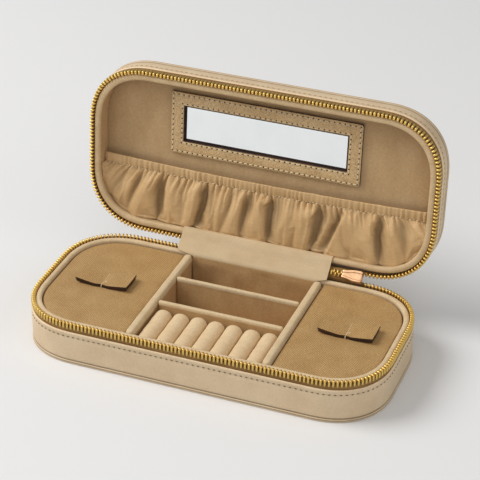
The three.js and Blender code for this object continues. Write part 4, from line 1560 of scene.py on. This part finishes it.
def spine():
    """The leather strip outside the hinge."""
    low, high = span("hinge_spine_base")
    lid_low, lid_high = span("hinge_spine_lid")
    y = (low[1] + high[1]) / 2
    path = curve_through([
        (y, low[2]), (y, low[2] + 7), (y + 0.05, 26.5), (y + 0.9, 29.6),
        lid_point((lid_low[1] + lid_high[1]) / 2, 2.4), lid_point((lid_low[1] + lid_high[1]) / 2, 6.0),
        lid_point((lid_low[1] + lid_high[1]) / 2, lid_high[2]),
    ], 40)
    rows = np.array([[(x, a, b) for a, b in path] for x in spread(low[0], high[0], 2.5)])
    shape = sheet_of(rows, 0.85)
    nodes = ["hinge_spine_base", "hinge_spine_lid"]
    made = make_piece("hinge_spine_leather", shape, "base", outer_leather, nodes, 60, BASE, False)
    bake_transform(made)
    return made, (high[0] - low[0], run_length(path))


def tape_bridge():
    """The end of the tapes, between the two shells, that the joined teeth and the slider ride on."""
    middle = HALF @ Vector((0, 55.9, LID_PLANE)) / MM
    lower = [(55.7, 24.0), (55.7, 26.6), (55.0, 30.2), (middle[1], middle[2])]
    path = curve_through(lower + [(59.0, 34.7), lid_point(55.7, 3.6), lid_point(55.7, 6.2)], 30)
    web_end = 62.6
    rows = np.array([[(x, a, b) for a, b in path] for x in spread(HINGE_RIGHT - 0.6, web_end, 1.2)])
    shape = sheet_of(rows, 0.55)
    cut = grid_area(rows)
    share = np.linspace(0, 1, len(path))
    for side in (0, 1):
        rows = []
        for x in spread(web_end, TEETH_RIGHT + 1, 1.2):
            reach = 0.35 + 0.125 * (1 - smooth((x - web_end - 3) / 10))
            at = np.linspace(side, side + (1 - 2 * side) * reach, 12)
            rows.append([(x, np.interp(k, share, path[:, 0]), np.interp(k, share, path[:, 1])) for k in at])
        sheet_of(np.array(rows), 0.55, shape=shape)
        cut += grid_area(rows)
    made = make_piece("zip_tape_bridge", shape, "base", tape_cloth, sharp=60, place=BASE, parented=False)
    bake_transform(made)
    return made, (TEETH_RIGHT + 1 - HINGE_RIGHT + 0.6, run_length(path)), cut


gusset_piece, gusset_flat = gusset()
spine_piece, spine_flat = spine()
bridge_piece, bridge_flat, bridge_cut = tape_bridge()

# ---------------------------------------------------------------- what stays hidden

for node in ("base_shell_core", "lid_shell_core", "mirror_backing", "ring_roll_base"):
    kept = frame["nodes"][node]
    kept.data.materials.clear()
    kept.data.materials.append(board.material)

# ---------------------------------------------------------------- the pocket cloth's width, depth and area

pocket_width = run_length(pocket_grid[:, pocket_grid.shape[1] // 3])
pocket_depth = max(run_length(column) for column in pocket_grid)
min(grid_area(pocket_grid), pocket_width * pocket_depth) * MM * MM

# ---------------------------------------------------------------- floor, light and camera


def floor_plane():
    look = Look("pale_floor", None, Roughness=0.75, Specular_IOR_Level=0.2)
    at = look.places()
    cloud = look.noise(at, 0.8, 3)
    pale = look.ramp(cloud, [(0.3, linear("E9E9E9")), (0.7, linear("EBEBEB"))])
    look.feed(look.shader.inputs["Base Color"], pale)
    mesh = bpy.data.meshes.new("floor")
    size = 3.0
    corners = [(-size, -size, 0), (size, -size, 0), (size, size, 0), (-size, size, 0)]
    mesh.from_pydata(corners, [], [(0, 1, 2, 3)])
    layer = mesh.uv_layers.new(name="UVMap")
    layer.data.foreach_set("uv", (0, 0, 1, 0, 1, 1, 0, 1))
    mesh.materials.append(look.material)
    made = bpy.data.objects.new("floor", mesh)
    bpy.context.scene.collection.objects.link(made)


def toward_viewer(azimuth, elevation):
    """The unit direction from the case to a viewer, with azimuth counted from the front."""
    flat = math.cos(elevation)
    return Vector((math.sin(azimuth) * flat, -math.cos(azimuth) * flat, math.sin(elevation)))


def area_light(name, azimuth, elevation, distance, size, power, colour, target=(0, 0.02, 0.05)):
    """A soft box looking at the case. Azimuth is counted as for the camera, from the front."""
    away = toward_viewer(math.radians(azimuth), math.radians(elevation))
    light = bpy.data.lights.new(name, "AREA")
    light.shape = "DISK"
    light.size = size
    light.energy = power
    light.color = colour
    made = bpy.data.objects.new(name, light)
    made.location = Vector(target) + away * distance
    made.rotation_mode = "QUATERNION"
    made.rotation_quaternion = away.to_track_quat("Z", "Y")
    bpy.context.scene.collection.objects.link(made)


CAMERA_TURN = (20.72, 31.15, 0.52)
CAMERA_TARGET = (-16.7, 76.2, 30.0)
CAMERA_DISTANCE = 1235.8
CAMERA_LENS = 138.86


def camera():
    azimuth, elevation, roll = (math.radians(angle) for angle in CAMERA_TURN)
    target = Vector(CAMERA_TARGET) * MM
    distance = CAMERA_DISTANCE * MM
    back = toward_viewer(azimuth, elevation)
    right = (-back).cross(Vector((0, 0, 1))).normalized()
    up = right.cross(-back).normalized()
    across = right * math.cos(roll) + up * math.sin(roll)
    over = up * math.cos(roll) - right * math.sin(roll)
    data = bpy.data.cameras.new("camera")
    data.sensor_width = 36.0
    data.lens = CAMERA_LENS
    data.clip_start, data.clip_end = 0.05, 20.0
    made = bpy.data.objects.new("camera", data)
    turn = Matrix((across, over, back)).transposed().to_4x4()
    made.matrix_world = Matrix.Translation(target + back * distance) @ turn
    bpy.context.scene.collection.objects.link(made)
    bpy.context.scene.camera = made


def sky():
    world = bpy.data.worlds.new("studio")
    world.use_nodes = True
    background = world.node_tree.nodes["Background"]
    background.inputs["Color"].default_value = (0.98, 0.99, 1.0, 1.0)
    background.inputs["Strength"].default_value = 0.365
    bpy.context.scene.world = world


floor_plane()
area_light("key", -74, 45, 2.4, 1.5, 42.0, (1.0, 0.985, 0.965))
area_light("fill", 22, 42, 2.6, 1.8, 9.0, (1.0, 0.99, 0.97))
area_light("side_fill", 75, 35, 2.4, 1.6, 6.5, (1.0, 0.98, 0.95))
sky()
camera()
bpy.context.scene.view_settings.view_transform = "Standard"
